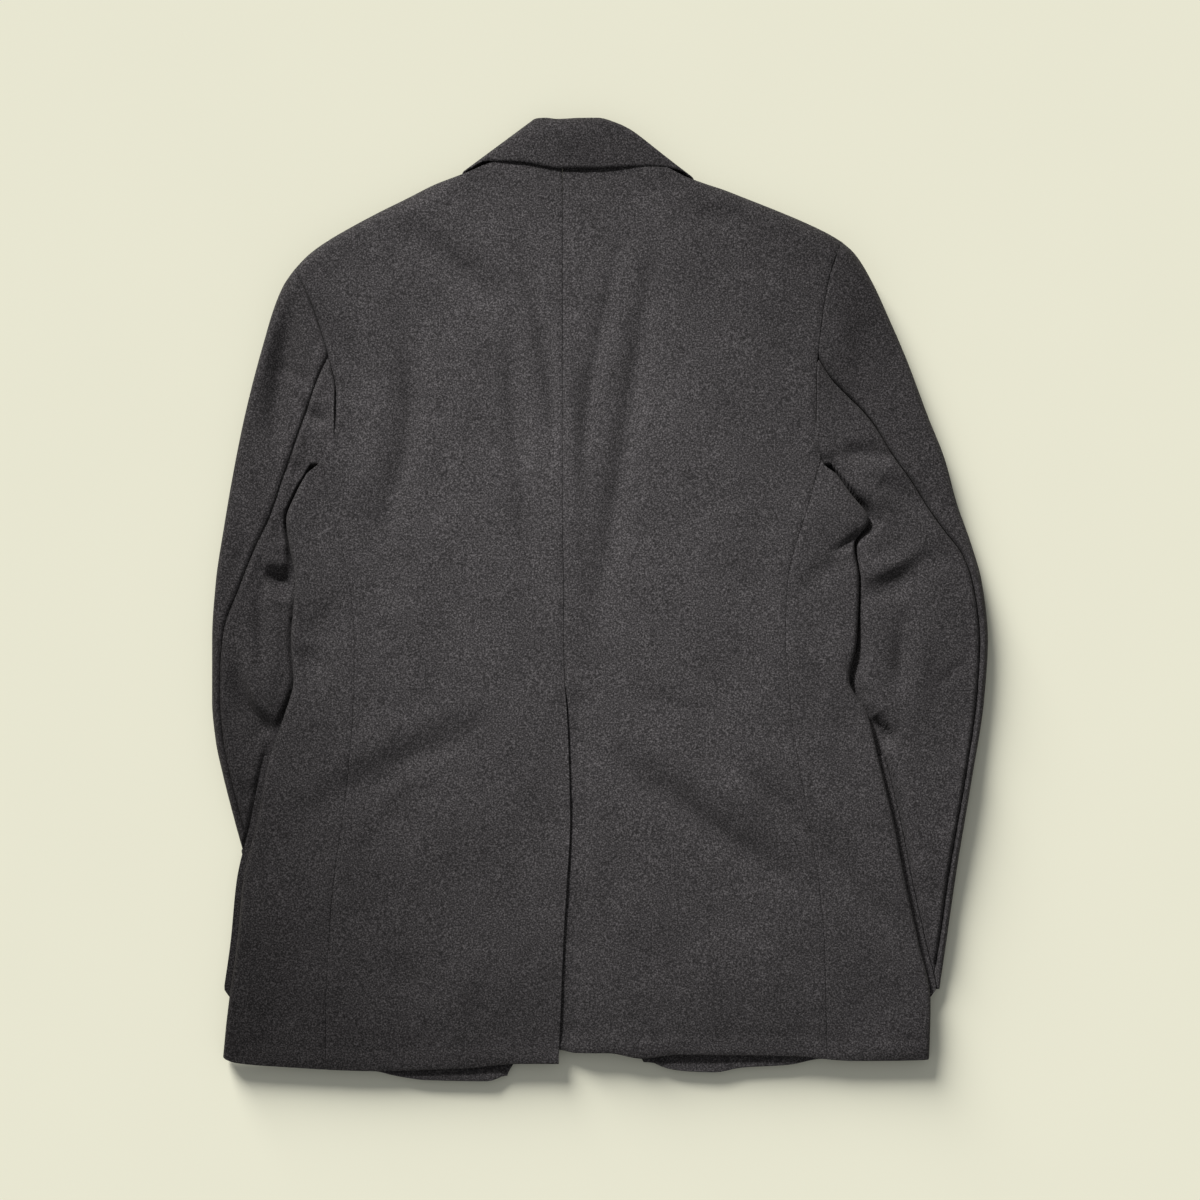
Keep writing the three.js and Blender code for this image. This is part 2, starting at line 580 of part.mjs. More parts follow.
// The two halves of the jacket: every line that differs between them, and which way is outwards
function half(side) {
  const left = side === 'left';
  const armholeRows = left ? ARMHOLE_LEFT : ARMHOLE_RIGHT;
  const headRows = left ? SLEEVE_HEAD_LEFT : SLEEVE_HEAD_RIGHT;
  const frontArmholeRows = left ? FRONT_ARMHOLE_LEFT : FRONT_ARMHOLE_RIGHT;
  const frontArmholeEnd = frontArmholeRows[frontArmholeRows.length - 1];
  const armhole = follow(armholeRows, 'y', 'x');
  const frontArmhole = follow(frontArmholeRows, 'y', 'x');
  const seam = follow(BODY, 'y', left ? 'seamL' : 'seamR');
  const seamTop = BODY[0].y;
  const headTop = headRows[0].y;
  const visibleRows = armholeRows.filter((row) => row.y > headTop);
  const sleeveHead = follow([...visibleRows, ...headRows], 'y', 'x');
  const edge = follow(BODY, 'y', left ? 'edgeL' : 'edgeR');
  const out = left ? -1 : 1;
  const frontSeamBelow = follow(BODY, 'y', left ? 'frontL' : 'frontR');
  const frontSeam = (y) => (y > frontArmholeEnd.y ? frontArmhole(y) : frontSeamBelow(y));
  return {
    side,
    out,
    shoulderPoint: armholeRows[0],
    armhole,
    frontArmholeEnd,
    frontSeam,
    edge,
    seam,
    seamTop,
    backSide: (y) => (y > seamTop ? armhole(y) : seam(y)),
    sleeveHead,
    frontArmhole,
    outer: follow(left ? SLEEVE_OUTER_LEFT : SLEEVE_OUTER_RIGHT, 'y', 'x'),
    inner: follow(left ? SLEEVE_INNER_LEFT : SLEEVE_INNER_RIGHT, 'y', 'x'),
    cuff: left ? CUFF_LEFT : CUFF_RIGHT,
    shoulder: left ? SHOULDER_LEFT : SHOULDER_RIGHT,
    frontEdge: follow(FRONT_EDGE, 'y', side),
    lapelWidth: follow(FRONT_EDGE, 'y', 'lapel'),
    backSeam: follow(left ? SLEEVE_SECTIONS_LEFT : SLEEVE_SECTIONS_RIGHT, 'down', 'backSeam'),
    sleeveTop: follow(left ? SLEEVE_SECTIONS_LEFT : SLEEVE_SECTIONS_RIGHT, 'down', 'height'),
  };
}

const LEFT = half('left');
const RIGHT = half('right');
const centreSeam = follow(BODY, 'y', 'mid');

// How far a point lies towards the jacket's middle from a line that runs down it
const inside = (line, half, x, y) => half.out * (line(y) - x);

// What lies under the fronts and side bodies raises them: the sleeve, the pocket, the lapel, the buttons
function sleeveUnder(half, x, y) {
  const top = half.frontArmholeEnd.y + ARMHOLE_MARGIN;
  const across = 1 - smooth(SLEEVE_MARGIN, SLEEVE_MARGIN + SLOPE, inside(half.inner, half, x, y));
  const above = 1 - smooth(top, top + SLOPE, y);
  const below = smooth(POCKET_BOTTOM - HEM_MARGIN - HEM_SLOPE, POCKET_BOTTOM - HEM_MARGIN, y);
  return across * above * below;
}

function pocketUnder(half, x, y) {
  const inner = POCKET_WIDTH - POCKET_PROUD;
  const reach = inner + POCKET_MARGIN;
  const across = 1 - smooth(reach, reach + SLOPE, inside(half.edge, half, x, y));
  const above = 1 - smooth(POCKET_TOP + POCKET_MARGIN, POCKET_TOP + POCKET_MARGIN + SLOPE, y);
  const below = smooth(POCKET_BOTTOM - HEM_MARGIN - HEM_SLOPE, POCKET_BOTTOM - HEM_MARGIN, y);
  return across * above * below;
}

function lapelUnder(half, x, y) {
  const reach = half.lapelWidth(y) + LAPEL_MARGIN;
  const bottom = BREAK_Y - BREAK_MARGIN;
  const across = 1 - smooth(reach, reach + SLOPE, -inside(half.frontEdge, half, x, y));
  const below = smooth(bottom - SLOPE, bottom, y);
  return across * below;
}

function buttonUnder(x, y) {
  const reach = BUTTON_DIAMETER / 2 + BUTTON_MARGIN;
  const lifts = BUTTONS.map((button) => {
    return 1 - smooth(reach, reach + SLOPE, Math.hypot(x - button.x, y - button.y));
  });
  return Math.max(...lifts);
}

function overlapUnder(x, y) {
  return 1 - smooth(OVERLAP_MARGIN, OVERLAP_MARGIN + SLOPE, x - LEFT.frontEdge(y));
}

function frontUnder(half, x, y) {
  const pocketLift = pocketUnder(half, x, y);
  const base = OVER_SLEEVE * Math.max(sleeveUnder(half, x, y), pocketLift) + LAYER * pocketLift;
  if (half === LEFT) {
    const lapelLift = LAYER * lapelUnder(half, x, y);
    return base + Math.max(lapelLift, (BUTTON_THICKNESS + SEAM_GAP) * buttonUnder(x, y));
  }
  const overlap = overlapUnder(x, y);
  const alone = base + (FRONT_OVERLAP_HEIGHT - RIGHT_LAPEL_HEIGHT) * lapelUnder(half, x, y);
  return lerp(alone, FRONT_OVERLAP_HEIGHT, overlap);
}

// The outer face of the back, at any place above the body
const heightColumns = ['centre', 'blade', 'side'].map((column) => follow(BACK_HEIGHTS, 'y', column));

function plainHeight(x, y) {
  const off = Math.abs(x - centreSeam(y));
  const [centre, blade, side] = heightColumns.map((column) => column(y));
  const towardsBlade = smooth(0, BLADE_AT, off);
  const towardsSide = smooth(BLADE_AT, SIDE_AT, off);
  return centre + (blade - centre) * towardsBlade + (side - blade) * towardsSide;
}

// Never below zero, and equal to `x` where that is large
const soften = (x) => Math.max(x, 0) + SOFTNESS * Math.log(1 + Math.exp(-Math.abs(x) / SOFTNESS));

function backHeight(x, y) {
  const leftUnder = frontUnder(LEFT, x, y);
  const rightUnder = frontUnder(RIGHT, x, y);
  const towardsRight = smooth(LEFT_FRONT_ALONE, RIGHT_FRONT_ALONE, x);
  const under = lerp(leftUnder, Math.max(rightUnder, leftUnder * (1 - towardsRight)), towardsRight);
  const floor = under + BACK_CLEARANCE;
  return floor + soften(plainHeight(x, y) + bodyFolds(x, y) - floor);
}

// A rolled edge: how far in from the edge a point lies after a length along the cloth, and how far
// it has come round, from 0 at the edge's middle height to 1 on the flat
function rolled(length, radius) {
  const quarter = radius * Math.PI / 2;
  if (length >= quarter) return { inward: radius + length - quarter, round: 1 };
  return { inward: radius * (1 - Math.cos(length / radius)), round: Math.sin(length / radius) };
}

// A closed wall of cloth from the outer face `surface(u, v)`, sampled at the given places. `facing` is 1
// where u turned towards v is outwards, and -1 where it is inwards.
const TINY = 1e-4;

function wall(name, material, surface, us, vs, facing, thickness = CLOTH) {
  const normalAt = (u, v) => {
    const du0 = surface(Math.max(u - TINY, us[0]), v);
    const du1 = surface(Math.min(u + TINY, us[us.length - 1]), v);
    const dv0 = surface(u, Math.max(v - TINY, vs[0]));
    const dv1 = surface(u, Math.min(v + TINY, vs[vs.length - 1]));
    const alongU = new THREE.Vector3(du1[0] - du0[0], du1[1] - du0[1], du1[2] - du0[2]);
    const alongV = new THREE.Vector3(dv1[0] - dv0[0], dv1[1] - dv0[1], dv1[2] - dv0[2]);
    return alongU.cross(alongV).normalize().multiplyScalar(facing);
  };
  const columns = us.length;
  const rows = vs.length;
  const outer = [];
  const inner = [];
  for (const v of vs) {
    for (const u of us) {
      const point = new THREE.Vector3(...surface(u, v));
      outer.push(point);
      inner.push(point.clone().addScaledVector(normalAt(u, v), -thickness));
    }
  }
  const positions = [...outer, ...inner].flatMap((point) => [point.x, point.y, point.z]);
  const innerStart = columns * rows;
  const indices = [];
  const face = (a, b, c) => {
    if (facing > 0) indices.push(a, b, c);
    else indices.push(a, c, b);
  };
  const at = (i, j) => j * columns + i;
  for (let j = 0; j < rows - 1; j += 1) {
    for (let i = 0; i < columns - 1; i += 1) {
      const [a, b, c, d] = [at(i, j), at(i + 1, j), at(i + 1, j + 1), at(i, j + 1)];
      face(a, b, c);
      face(a, c, d);
      face(innerStart + a, innerStart + c, innerStart + b);
      face(innerStart + a, innerStart + d, innerStart + c);
    }
  }
  const rim = (a, b) => {
    face(a, innerStart + a, b);
    face(b, innerStart + a, innerStart + b);
  };
  for (let i = 0; i < columns - 1; i += 1) {
    rim(at(i, 0), at(i + 1, 0));
    rim(at(i + 1, rows - 1), at(i, rows - 1));
  }
  for (let j = 0; j < rows - 1; j += 1) {
    rim(at(columns - 1, j), at(columns - 1, j + 1));
    rim(at(0, j + 1), at(0, j));
  }
  const geometry = new THREE.BufferGeometry();
  geometry.setAttribute('position', new THREE.Float32BufferAttribute(positions, 3));
  geometry.setIndex(indices);
  geometry.computeVertexNormals();
  const mesh = new THREE.Mesh(geometry, material.clone());
  mesh.name = name;
  return mesh;
}

const steps = (count, from = 0, to = 1) => {
  return Array.from({ length: count + 1 }, (_, i) => lerp(from, to, i / count));
};

// Sampling down a panel: rows crowded into the rolled shoulder, close rows beside the armhole, then the rest
function panelRows(rows) {
  const quarter = SHOULDER_ROLL * Math.PI / 2;
  const total = BACK_LENGTH - SHOULDER_ROLL + quarter;
  const rollEnd = quarter / total;
  const armholeEnd = ARMHOLE_LENGTH / total;
  return [
    ...steps(rows.roll, 0, rollEnd),
    ...steps(rows.armhole, rollEnd, armholeEnd).slice(1),
    ...steps(rows.below, armholeEnd, 1).slice(1),
  ];
}

const cloth = new THREE.MeshStandardMaterial({ color: 0x444243, roughness: 0.95, metalness: 0 });
const horn = new THREE.MeshStandardMaterial({ color: 0x2a2523, roughness: 0.4, metalness: 0 });

// Half the thickness of the jacket at its shoulder edge
const edgeMiddle = (x, y) => backHeight(x, y) / 2;

function shoulderRound(half, x, round) {
  const neckX = half.shoulder[0].x;
  const share = smooth(0, NECK_BLEND, half.out * (x - neckX) + NECK_BLEND_START);
  return lerp(1, round, share);
}

function topLine(half) {
  const points = pointsAlongX(half.shoulder);
  const neck = pointsAlongX(NECK).filter(([x]) => half.out * (x - half.shoulder[0].x) < 0);
  return [...points, ...neck];
}

// A back panel, from its shoulder and neck down to the hem
function back(half) {
  const isLeft = half === LEFT;
  const sideLine = half.backSide;
  const centreLine = (y) => {
    const seam = centreSeam(y);
    if (isLeft) return seam;
    return seam - VENT_UNDERLAP * smooth(VENT_TOP, VENT_TOP - VENT_SLANT, y);
  };
  const topOf = endByShare(topLine(half), sideLine, centreSeam);
  const hem = pointsAlongX(isLeft ? BACK_HEM : BACK_HEM_RIGHT);
  const hemOf = endByShare(hem, sideLine, centreLine);
  const surface = (u, v) => {
    const top = topOf(u);
    const bottom = hemOf(u);
    const length = top - bottom + SHOULDER_ROLL * ROLL_EXTRA;
    const { inward, round } = rolled(v * length, SHOULDER_ROLL);
    const y = top - inward;
    const from = sideLine(y) - half.out * (y > half.seamTop - 12 ? ARMHOLE_GAP : SIDE_GAP / 2);
    const to = centreLine(y) + half.out * SEAM_GAP / 2;
    const x = lerp(from, to, u);
    let height = backHeight(x, y);
    if (!isLeft) {
      const beside = smooth(VENT_DROP_WIDTH, VENT_DROP_FLAT, x - centreSeam(y));
      height -= VENT_DROP * beside * smooth(VENT_TOP + VENT_SLANT, VENT_TOP + VENT_DROP_FLAT, y);
    }
    const middle = edgeMiddle(x, y) + SEAM_GAP / 2;
    return [x, y, lerp(middle, height, shoulderRound(half, x, round))];
  };
  return wall(`back_${half.side}`, cloth, surface, steps(BACK_COLUMNS), panelRows(BACK_ROWS), half.out);
}

// A side body, from the side-back seam round the folded edge to the front seam underneath
function sideBody(half) {
  const hem = follow(half === LEFT ? BACK_HEM : BACK_HEM_RIGHT, 'x', 'y');
  const bottomY = BODY[BODY.length - 1].y;
  // u below 1 is the upper layer, from the seam out to the fold; above 1 it is the layer beneath
  const surface = (u, v) => {
    const over = u < 1;
    const topY = over
      ? lerp(half.seamTop, UNDERARM_FOLD_Y, u)
      : lerp(UNDERARM_FOLD_Y, half.frontArmholeEnd.y, u - 1);
    const hemX = over
      ? lerp(half.seam(bottomY), half.edge(bottomY), u)
      : lerp(half.edge(bottomY), half.frontSeam(bottomY), u - 1);
    const y = lerp(topY, hem(hemX), v);
    const inner = over ? half.seam(y) : half.frontSeam(y);
    const reach = Math.abs(half.edge(y) - inner) - SIDE_GAP / 2;
    const length = reach + SIDE_ROLL * ROLL_EXTRA;
    const fromFold = (over ? 1 - u : u - 1) * length;
    const { inward, round } = rolled(fromFold, SIDE_ROLL);
    const x = half.edge(y) - half.out * inward;
    const top = backHeight(x, y);
    const under = frontUnder(half, x, y);
    const middle = (backHeight(half.edge(y), y) + frontUnder(half, half.edge(y), y)) / 2;
    return [x, y, lerp(middle, over ? top : under, round)];
  };
  const rollShare = SIDE_ROLL * Math.PI / 2 / SIDE_WIDTH;
  const us = [
    ...steps(SIDE_TOP_COLUMNS, 0, 1 - rollShare),
    ...steps(SIDE_ROLL_COLUMNS, 1 - rollShare, 1 + rollShare).slice(1),
    ...steps(SIDE_UNDER_COLUMNS, 1 + rollShare, 2).slice(1),
  ];
  return wall(`side_${half.side}`, cloth, surface, us, steps(SIDE_ROWS), -half.out);
}

// A front panel, from its shoulder down to the hem, with its edge rolled at the lapel
function front(half) {
  const isLeft = half === LEFT;
  const sideLine = half.frontSeam;
  const edgeLine = half.frontEdge;
  const topOf = endByShare(pointsAlongX(half.shoulder), sideLine, edgeLine);
  const hemOf = endByShare(pointsAlongX(isLeft ? FRONT_HEM_LEFT : FRONT_HEM_RIGHT), sideLine, edgeLine);
  const surface = (u, v) => {
    const top = topOf(u);
    const bottom = hemOf(u);
    const length = top - bottom + SHOULDER_ROLL * ROLL_EXTRA;
    const { inward, round } = rolled(v * length, SHOULDER_ROLL);
    const y = top - inward;
    const from = sideLine(y) - half.out * (y > half.frontArmholeEnd.y ? ARMHOLE_GAP : SIDE_GAP / 2);
    const x = lerp(from, edgeLine(y), u);
    const middle = edgeMiddle(x, y) - SEAM_GAP / 2;
    return [x, y, lerp(middle, frontUnder(half, x, y), round)];
  };
  return wall(`front_${half.side}`, cloth, surface, steps(FRONT_COLUMNS), panelRows(FRONT_ROWS), -half.out);
}

// A lapel, turned back from the roll line and lying under its front
function lapel(half) {
  const lift = (x, y) => (half === LEFT ? 0 : RIGHT_LAPEL_HEIGHT * overlapUnder(x, y));
  const surface = (u, v) => {
    const y = lerp(lerp(LAPEL_TIP, LAPEL_TOP, u), LAPEL_BOTTOM, v);
    const roll = half.frontEdge(y);
    const x = roll + half.out * (1 - u) * half.lapelWidth(y);
    return [x, y, lift(x, y)];
  };
  return wall(`lapel_${half.side}`, cloth, surface, steps(LAPEL_COLUMNS), steps(LAPEL_ROWS), -half.out);
}

// A patch pocket with rounded bottom corners, whose outer margin stands proud of the body's folded edge
function pocket(half) {
  const surface = (u, v) => {
    const corner = POCKET_CORNER * (1 - Math.sqrt(1 - Math.abs(2 * u - 1) ** 8)) * v ** 6;
    const y = lerp(POCKET_TOP, POCKET_BOTTOM + corner, v);
    const x = half.edge(y) + half.out * (POCKET_PROUD - POCKET_WIDTH * u);
    return [x, y, OVER_SLEEVE];
  };
  return wall(`pocket_${half.side}`, cloth, surface, steps(POCKET_COLUMNS), steps(POCKET_ROWS), -half.out);
}

// Sleeves. Across each one, u runs from the back seam over the outer fold, along the layer beneath and
// round the inner fold to the hidden front seam: 0 to 1 above, 1 to 2 beneath, 2 to 3 above again.
const FRONT_SEAM_SHARE = 0.85;
const HEAD_SHARE = 0.12;

function sleeveSurface(half) {
  const from = half.shoulderPoint.y;
  const to = half.frontArmholeEnd.y;
  const upperTop = endByShare(pointsAlongY(half.sleeveHead, from, to), half.outer, half.inner);
  const lowerTop = endByShare(pointsAlongY(half.frontArmhole, from, to), half.outer, half.inner);
  const covered = (x, y) => {
    const proud = POCKET_PROUD * smooth(POCKET_TOP + POCKET_MARGIN, POCKET_TOP, y);
    const within = half.out * (half.edge(y) - x) + proud;
    const below = half.seamTop - DIVE_BELOW_SEAM_TOP - y;
    return smooth(-DIVE_START, -DIVE_END, Math.min(within, below));
  };
  // A place across the sleeve: `share` from the outer fold to the inner one, on the upper or lower layer
  return (share, down, upper) => {
    const topY = (upper ? upperTop : lowerTop)(share);
    const y = lerp(topY, half.cuff, down);
    const width = Math.abs(half.inner(y) - half.outer(y));
    const x = lerp(half.outer(y), half.inner(y), share);
    const fromOuter = share * width;
    const fromInner = (1 - share) * width;
    const head = smooth(0, HEAD_SHARE, down);
    const headRadius = lerp(SHOULDER_ROLL, SLEEVE_ROLL, head);
    const outerTurn = Math.min(fromOuter / headRadius, 1);
    const innerTurn = Math.min(fromInner / SLEEVE_INNER_ROLL, 1);
    const round = Math.sqrt(1 - (1 - outerTurn) ** 2);
    const innerRound = Math.sqrt(1 - (1 - innerTurn) ** 2);
    const own = half.sleeveTop(down);
    const free = lerp(backHeight(x, y), own, head) + sleeveFolds(x, y);
    const top = lerp(Math.max(free, SLEEVE_HEIGHT), SLEEVE_HEIGHT, covered(x, y));
    const shoulderMiddle = edgeMiddle(half.shoulderPoint.x, half.shoulderPoint.y);
    const outerMiddle = lerp(shoulderMiddle, own / 2, head);
    const middle = lerp(outerMiddle, SLEEVE_HEIGHT / 2, smooth(0.3, 1, share));
    const target = upper ? top : 0;
    return [x, y, middle + (target - middle) * round * innerRound];
  };
}

// Shares across the sleeve that crowd into the rolled folds
const acrossSleeve = (t, width, outerRadius) => {
  const quarterOuter = outerRadius * Math.PI / 2;
  const quarterInner = SLEEVE_INNER_ROLL * Math.PI / 2;
  const total = width - outerRadius - SLEEVE_INNER_ROLL + quarterOuter + quarterInner;
  const length = t * total;
  if (length < quarterOuter) return outerRadius * (1 - Math.cos(length / outerRadius)) / width;
  if (length > total - quarterInner) {
    return 1 - SLEEVE_INNER_ROLL * (1 - Math.cos((total - length) / SLEEVE_INNER_ROLL)) / width;
  }
  return (outerRadius + length - quarterOuter) / width;
};

function sleevePieces(half) {
  const place = sleeveSurface(half);
  const shareOf = (t, down) => {
    const radius = lerp(SHOULDER_ROLL, SLEEVE_ROLL, smooth(0, HEAD_SHARE, down));
    return acrossSleeve(clamp(t, 0, 1), SLEEVE_WIDTH, radius);
  };
  const seamShare = (down) => half.backSeam(down) / SLEEVE_WIDTH;
  const seamT = (down) => {
    let low = 0;
    let high = 1;
    for (let i = 0; i < 40; i += 1) {
      const middle = (low + high) / 2;
      if (shareOf(middle, down) < seamShare(down)) low = middle;
      else high = middle;
    }
    return (low + high) / 2;
  };
  const gapT = SEAM_GAP / 2 / SLEEVE_WIDTH;
  const around = (u, down) => {
    if (u < 1) return place(shareOf(lerp(seamT(down) - gapT, 0, u), down), down, true);
    if (u < 2) return place(shareOf(u - 1, down), down, false);
    return place(shareOf(lerp(1, FRONT_SEAM_SHARE, u - 2), down), down, true);
  };
  const topUs = [...steps(5, 0, 1), ...steps(2, 1, 1.12).slice(1), ...steps(4, 1.12, 1.96).slice(1),
    ...steps(2, 1.96, 2).slice(1), ...steps(2, 2, 2.3).slice(1), 3];
  const underSurface = (u, down) => {
    return place(shareOf(lerp(seamT(down) + gapT, FRONT_SEAM_SHARE - 2 * gapT, u), down), down, true);
  };
  const headDowns = steps(SLEEVE_HEAD_ROWS, 0, SLEEVE_HEAD_END);
  const downs = [...headDowns, ...steps(SLEEVE_ROWS, SLEEVE_HEAD_END, 1).slice(1)];
  const underUs = steps(SLEEVE_UNDER_COLUMNS);
  return [
    wall(`sleeve_top_${half.side}`, cloth, around, topUs, downs, -half.out),
    wall(`sleeve_under_${half.side}`, cloth, underSurface, underUs, downs, half.out),
  ];
}

// The collar's fall: it runs on round both sides of the neck, down to its ends on the lapels
function collar() {
  const rows = COLLAR.map((row, index) => ({ ...row, index }));
  const columns = ['edgeX', 'edgeY', 'edgeZ', 'rollX', 'rollY', 'rollZ', 'rise'];
  const along = Object.fromEntries(columns.map((name) => [name, follow(rows, 'index', name)]));
  const surface = (u, v) => {
    const index = u * (rows.length - 1);
    const value = (name) => along[name](index);
    const x = lerp(value('edgeX'), value('rollX'), v);
    const y = lerp(value('edgeY'), value('rollY'), v);
    const turn = Math.sqrt(1 - v ** COLLAR_ROLL_POWER);
    const arched = value('edgeZ') + value('rise') * Math.sin(Math.PI / 2 * v);
    const flat = lerp(value('edgeZ'), value('rollZ'), v);
    const onTop = smooth(0, COLLAR_RISE_FULL, value('rise'));
    return [x, y, lerp(flat, lerp(value('rollZ'), arched, turn), onTop)];
  };
  return wall('collar', cloth, surface, steps(COLLAR_COLUMNS), COLLAR_PLACES, 1);
}

// The collar's stand, from the fall's roll down to the seam of the neck, under the fall
function collarStand() {
  const rows = STAND.map((row, index) => ({ ...row, index }));
  const neckLine = follow(NECK, 'x', 'y');
  const columns = ['rollX', 'rollY', 'neckX'];
  const along = Object.fromEntries(columns.map((name) => [name, follow(rows, 'index', name)]));
  const surface = (u, v) => {
    const [rollX, rollY, neckX] = columns.map((name) => along[name](u * (rows.length - 1)));
    const neckY = neckLine(neckX) + 2 * SEAM_GAP;
    const neckZ = backHeight(neckX, neckY) - CLOTH;
    return [lerp(rollX, neckX, v), lerp(rollY, neckY, v), lerp(STAND_ROLL_Z, neckZ, v)];
  };
  return wall('collar_stand', cloth, surface, steps(STAND_COLUMNS), steps(STAND_ROWS), 1);
}

// A flat button with rounded edges, whose raised rim touches the cloth that it is buttoned through
function button({ name, x, y }) {
  const radius = BUTTON_DIAMETER / 2;
  const rimTop = BUTTON_THICKNESS - BUTTON_EDGE;
  const profile = [
    [0, 0],
    [radius - BUTTON_EDGE, 0],
    [radius, BUTTON_EDGE],
    [radius, rimTop],
    [radius - BUTTON_EDGE, BUTTON_THICKNESS],
    [radius - BUTTON_RIM, BUTTON_THICKNESS - BUTTON_DISH],
    [0, BUTTON_THICKNESS - BUTTON_DISH],
  ].map(([across, up]) => new THREE.Vector2(across, up));
  const geometry = new THREE.LatheGeometry(profile, BUTTON_SIDES);
  geometry.rotateX(Math.PI / 2);
  const mesh = new THREE.Mesh(geometry, horn.clone());
  mesh.name = name;
  mesh.position.set(x, y, 0);
  return mesh;
}

const group = new THREE.Group();
for (const half of [LEFT, RIGHT]) {
  group.add(back(half), sideBody(half), front(half), lapel(half), pocket(half), ...sleevePieces(half));
}
group.add(collar(), collarStand(), ...BUTTONS.map(button));

export default group;
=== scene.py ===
"""Looks of a tailored blazer in charcoal wool flannel that lies on its front, seen from straight above.

Sizes are in millimetres until a mesh is made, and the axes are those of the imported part: X across the
jacket, Y up it from the hem to the collar, Z above the surface that it lies on.
Every piece of cloth is a closed shell on the form of its solid, with finer folds, creases and seams.
"""

import json
import math

import bmesh
import bpy
import numpy as np
from mathutils import Matrix, Vector

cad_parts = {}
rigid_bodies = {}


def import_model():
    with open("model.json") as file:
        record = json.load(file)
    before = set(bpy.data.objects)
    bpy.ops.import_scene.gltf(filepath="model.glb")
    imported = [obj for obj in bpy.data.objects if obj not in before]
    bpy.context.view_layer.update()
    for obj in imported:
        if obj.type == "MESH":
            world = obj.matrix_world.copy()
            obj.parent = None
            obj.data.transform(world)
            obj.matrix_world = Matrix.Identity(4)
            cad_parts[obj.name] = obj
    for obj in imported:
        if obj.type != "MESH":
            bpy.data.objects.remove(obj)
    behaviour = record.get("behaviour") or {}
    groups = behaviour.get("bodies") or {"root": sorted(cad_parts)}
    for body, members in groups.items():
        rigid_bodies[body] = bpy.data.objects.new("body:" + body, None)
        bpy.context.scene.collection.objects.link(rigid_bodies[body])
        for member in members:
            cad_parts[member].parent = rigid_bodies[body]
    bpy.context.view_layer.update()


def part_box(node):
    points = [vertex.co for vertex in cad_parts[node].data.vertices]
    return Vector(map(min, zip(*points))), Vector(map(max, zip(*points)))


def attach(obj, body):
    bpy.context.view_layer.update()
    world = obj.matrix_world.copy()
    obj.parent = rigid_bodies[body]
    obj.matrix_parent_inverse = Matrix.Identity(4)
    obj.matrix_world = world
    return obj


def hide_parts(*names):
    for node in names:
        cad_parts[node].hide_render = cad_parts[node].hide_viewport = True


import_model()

bl_info = {
    "name": "Flannel blazer, laid flat",
    "version": (1, 0, 0),
    "blender": (4, 5, 0),
    "location": "3D View > Sidebar > Blazer",
    "description": "Builds the cloth, buttons, stitches and stage of a blazer that lies on its front",
    "category": "Object",
}

MM = 0.001

# Cloth and layers, as in the solids
CLOTH = 1.6
SEAM_GAP = 0.3
LAYER_GAP = 0.4
LAYER = CLOTH + LAYER_GAP
SIDE_GAP = 0.16
ARMHOLE_GAP = 0.12
SLEEVE_HEIGHT = 6.4
OVER_SLEEVE = SLEEVE_HEIGHT + 2 * LAYER_GAP
BUTTON_THICKNESS = 3
BUTTON_DIAMETER = 21
FRONT_OVERLAP_HEIGHT = 8.4
RIGHT_LAPEL_HEIGHT = 5.8

# Widths of the soft slopes beside what lies under a panel
SLEEVE_MARGIN = 14
ARMHOLE_MARGIN = 12
LAPEL_MARGIN = 16
BREAK_MARGIN = 12
BUTTON_MARGIN = 6
OVERLAP_MARGIN = 14
SLOPE = 52
HEM_MARGIN = 13
HEM_SLOPE = 44
BACK_CLEARANCE = 2 * LAYER + 0.4 * CLOTH
SOFTNESS = 1.2
LEFT_FRONT_ALONE = -80
RIGHT_FRONT_ALONE = 40
EDGE_EASE_WIDTH = {"left": 30, "right": 14}
DIVE_BELOW_SEAM_TOP = 6

# Roundness of the folded edges
RIM_ROUND = 0.1
SHOULDER_ROLL = 13
SIDE_ROLL = 4.2
SLEEVE_ROLL = 7
SLEEVE_INNER_ROLL = 3.1
COLLAR_ROLL_POWER = 6
SLEEVE_CREST_SHARE = 0.3
ROLL_EXTRA = math.pi / 2 - 1
NECK_BLEND = 26
NECK_BLEND_START = 4
SIDE_WIDTH = 62
SLEEVE_WIDTH = 160
FRONT_SEAM_SHARE = 0.85
HEAD_SHARE = 0.12

# Hip pockets, vent and lapels
POCKET_WIDTH = 161
POCKET_PROUD = 6
POCKET_TOP = -129
POCKET_BOTTOM = -333
POCKET_CORNER = 14
POCKET_CORNER_ACROSS = 8
POCKET_CORNER_DOWN = 6
POCKET_MARGIN = 30
VENT_TOP = -97
VENT_UNDERLAP = 38
VENT_SLANT = 36
VENT_DROP = 3.1
VENT_DROP_WIDTH = 26
VENT_DROP_FLAT = 6
VENT_SEAM_FADE = 14
CUFF = {"left": -319.5, "right": -322}
BREAK_Y = -40
UNDERARM_FOLD_Y = 103
LAPEL_TOP = 291
LAPEL_TIP = 259
LAPEL_BOTTOM = BREAK_Y + 4
BLADE_AT = 110
SIDE_AT = 225
COLLAR_RISE_FULL = 1.5
STAND_ROLL_Z = 9

# Lengths over each piece that its points are spread along, and how many they are
BACK_WIDTH = 240
BACK_LENGTH = 745
SIDE_LENGTH = 480
FRONT_WIDTH = 200
LAPEL_WIDTH = 66
LAPEL_LENGTH = 320
SLEEVE_LENGTH = 590
COLLAR_LENGTH = 430
STAND_LENGTH = 120
STAND_WIDTH = 32
UNDER_SLEEVE_WIDTH = SLEEVE_WIDTH - 35
EDGE_CELL = 0.7
SLEEVE_EDGE_CELL = 0.4
ROLL_COLUMNS = 13
SLEEVE_SEAM_COLUMNS = 34
SLEEVE_TUCK_COLUMNS = 10
COLLAR_ROWS = 26
COLLAR_ROW_POWER = 1.6
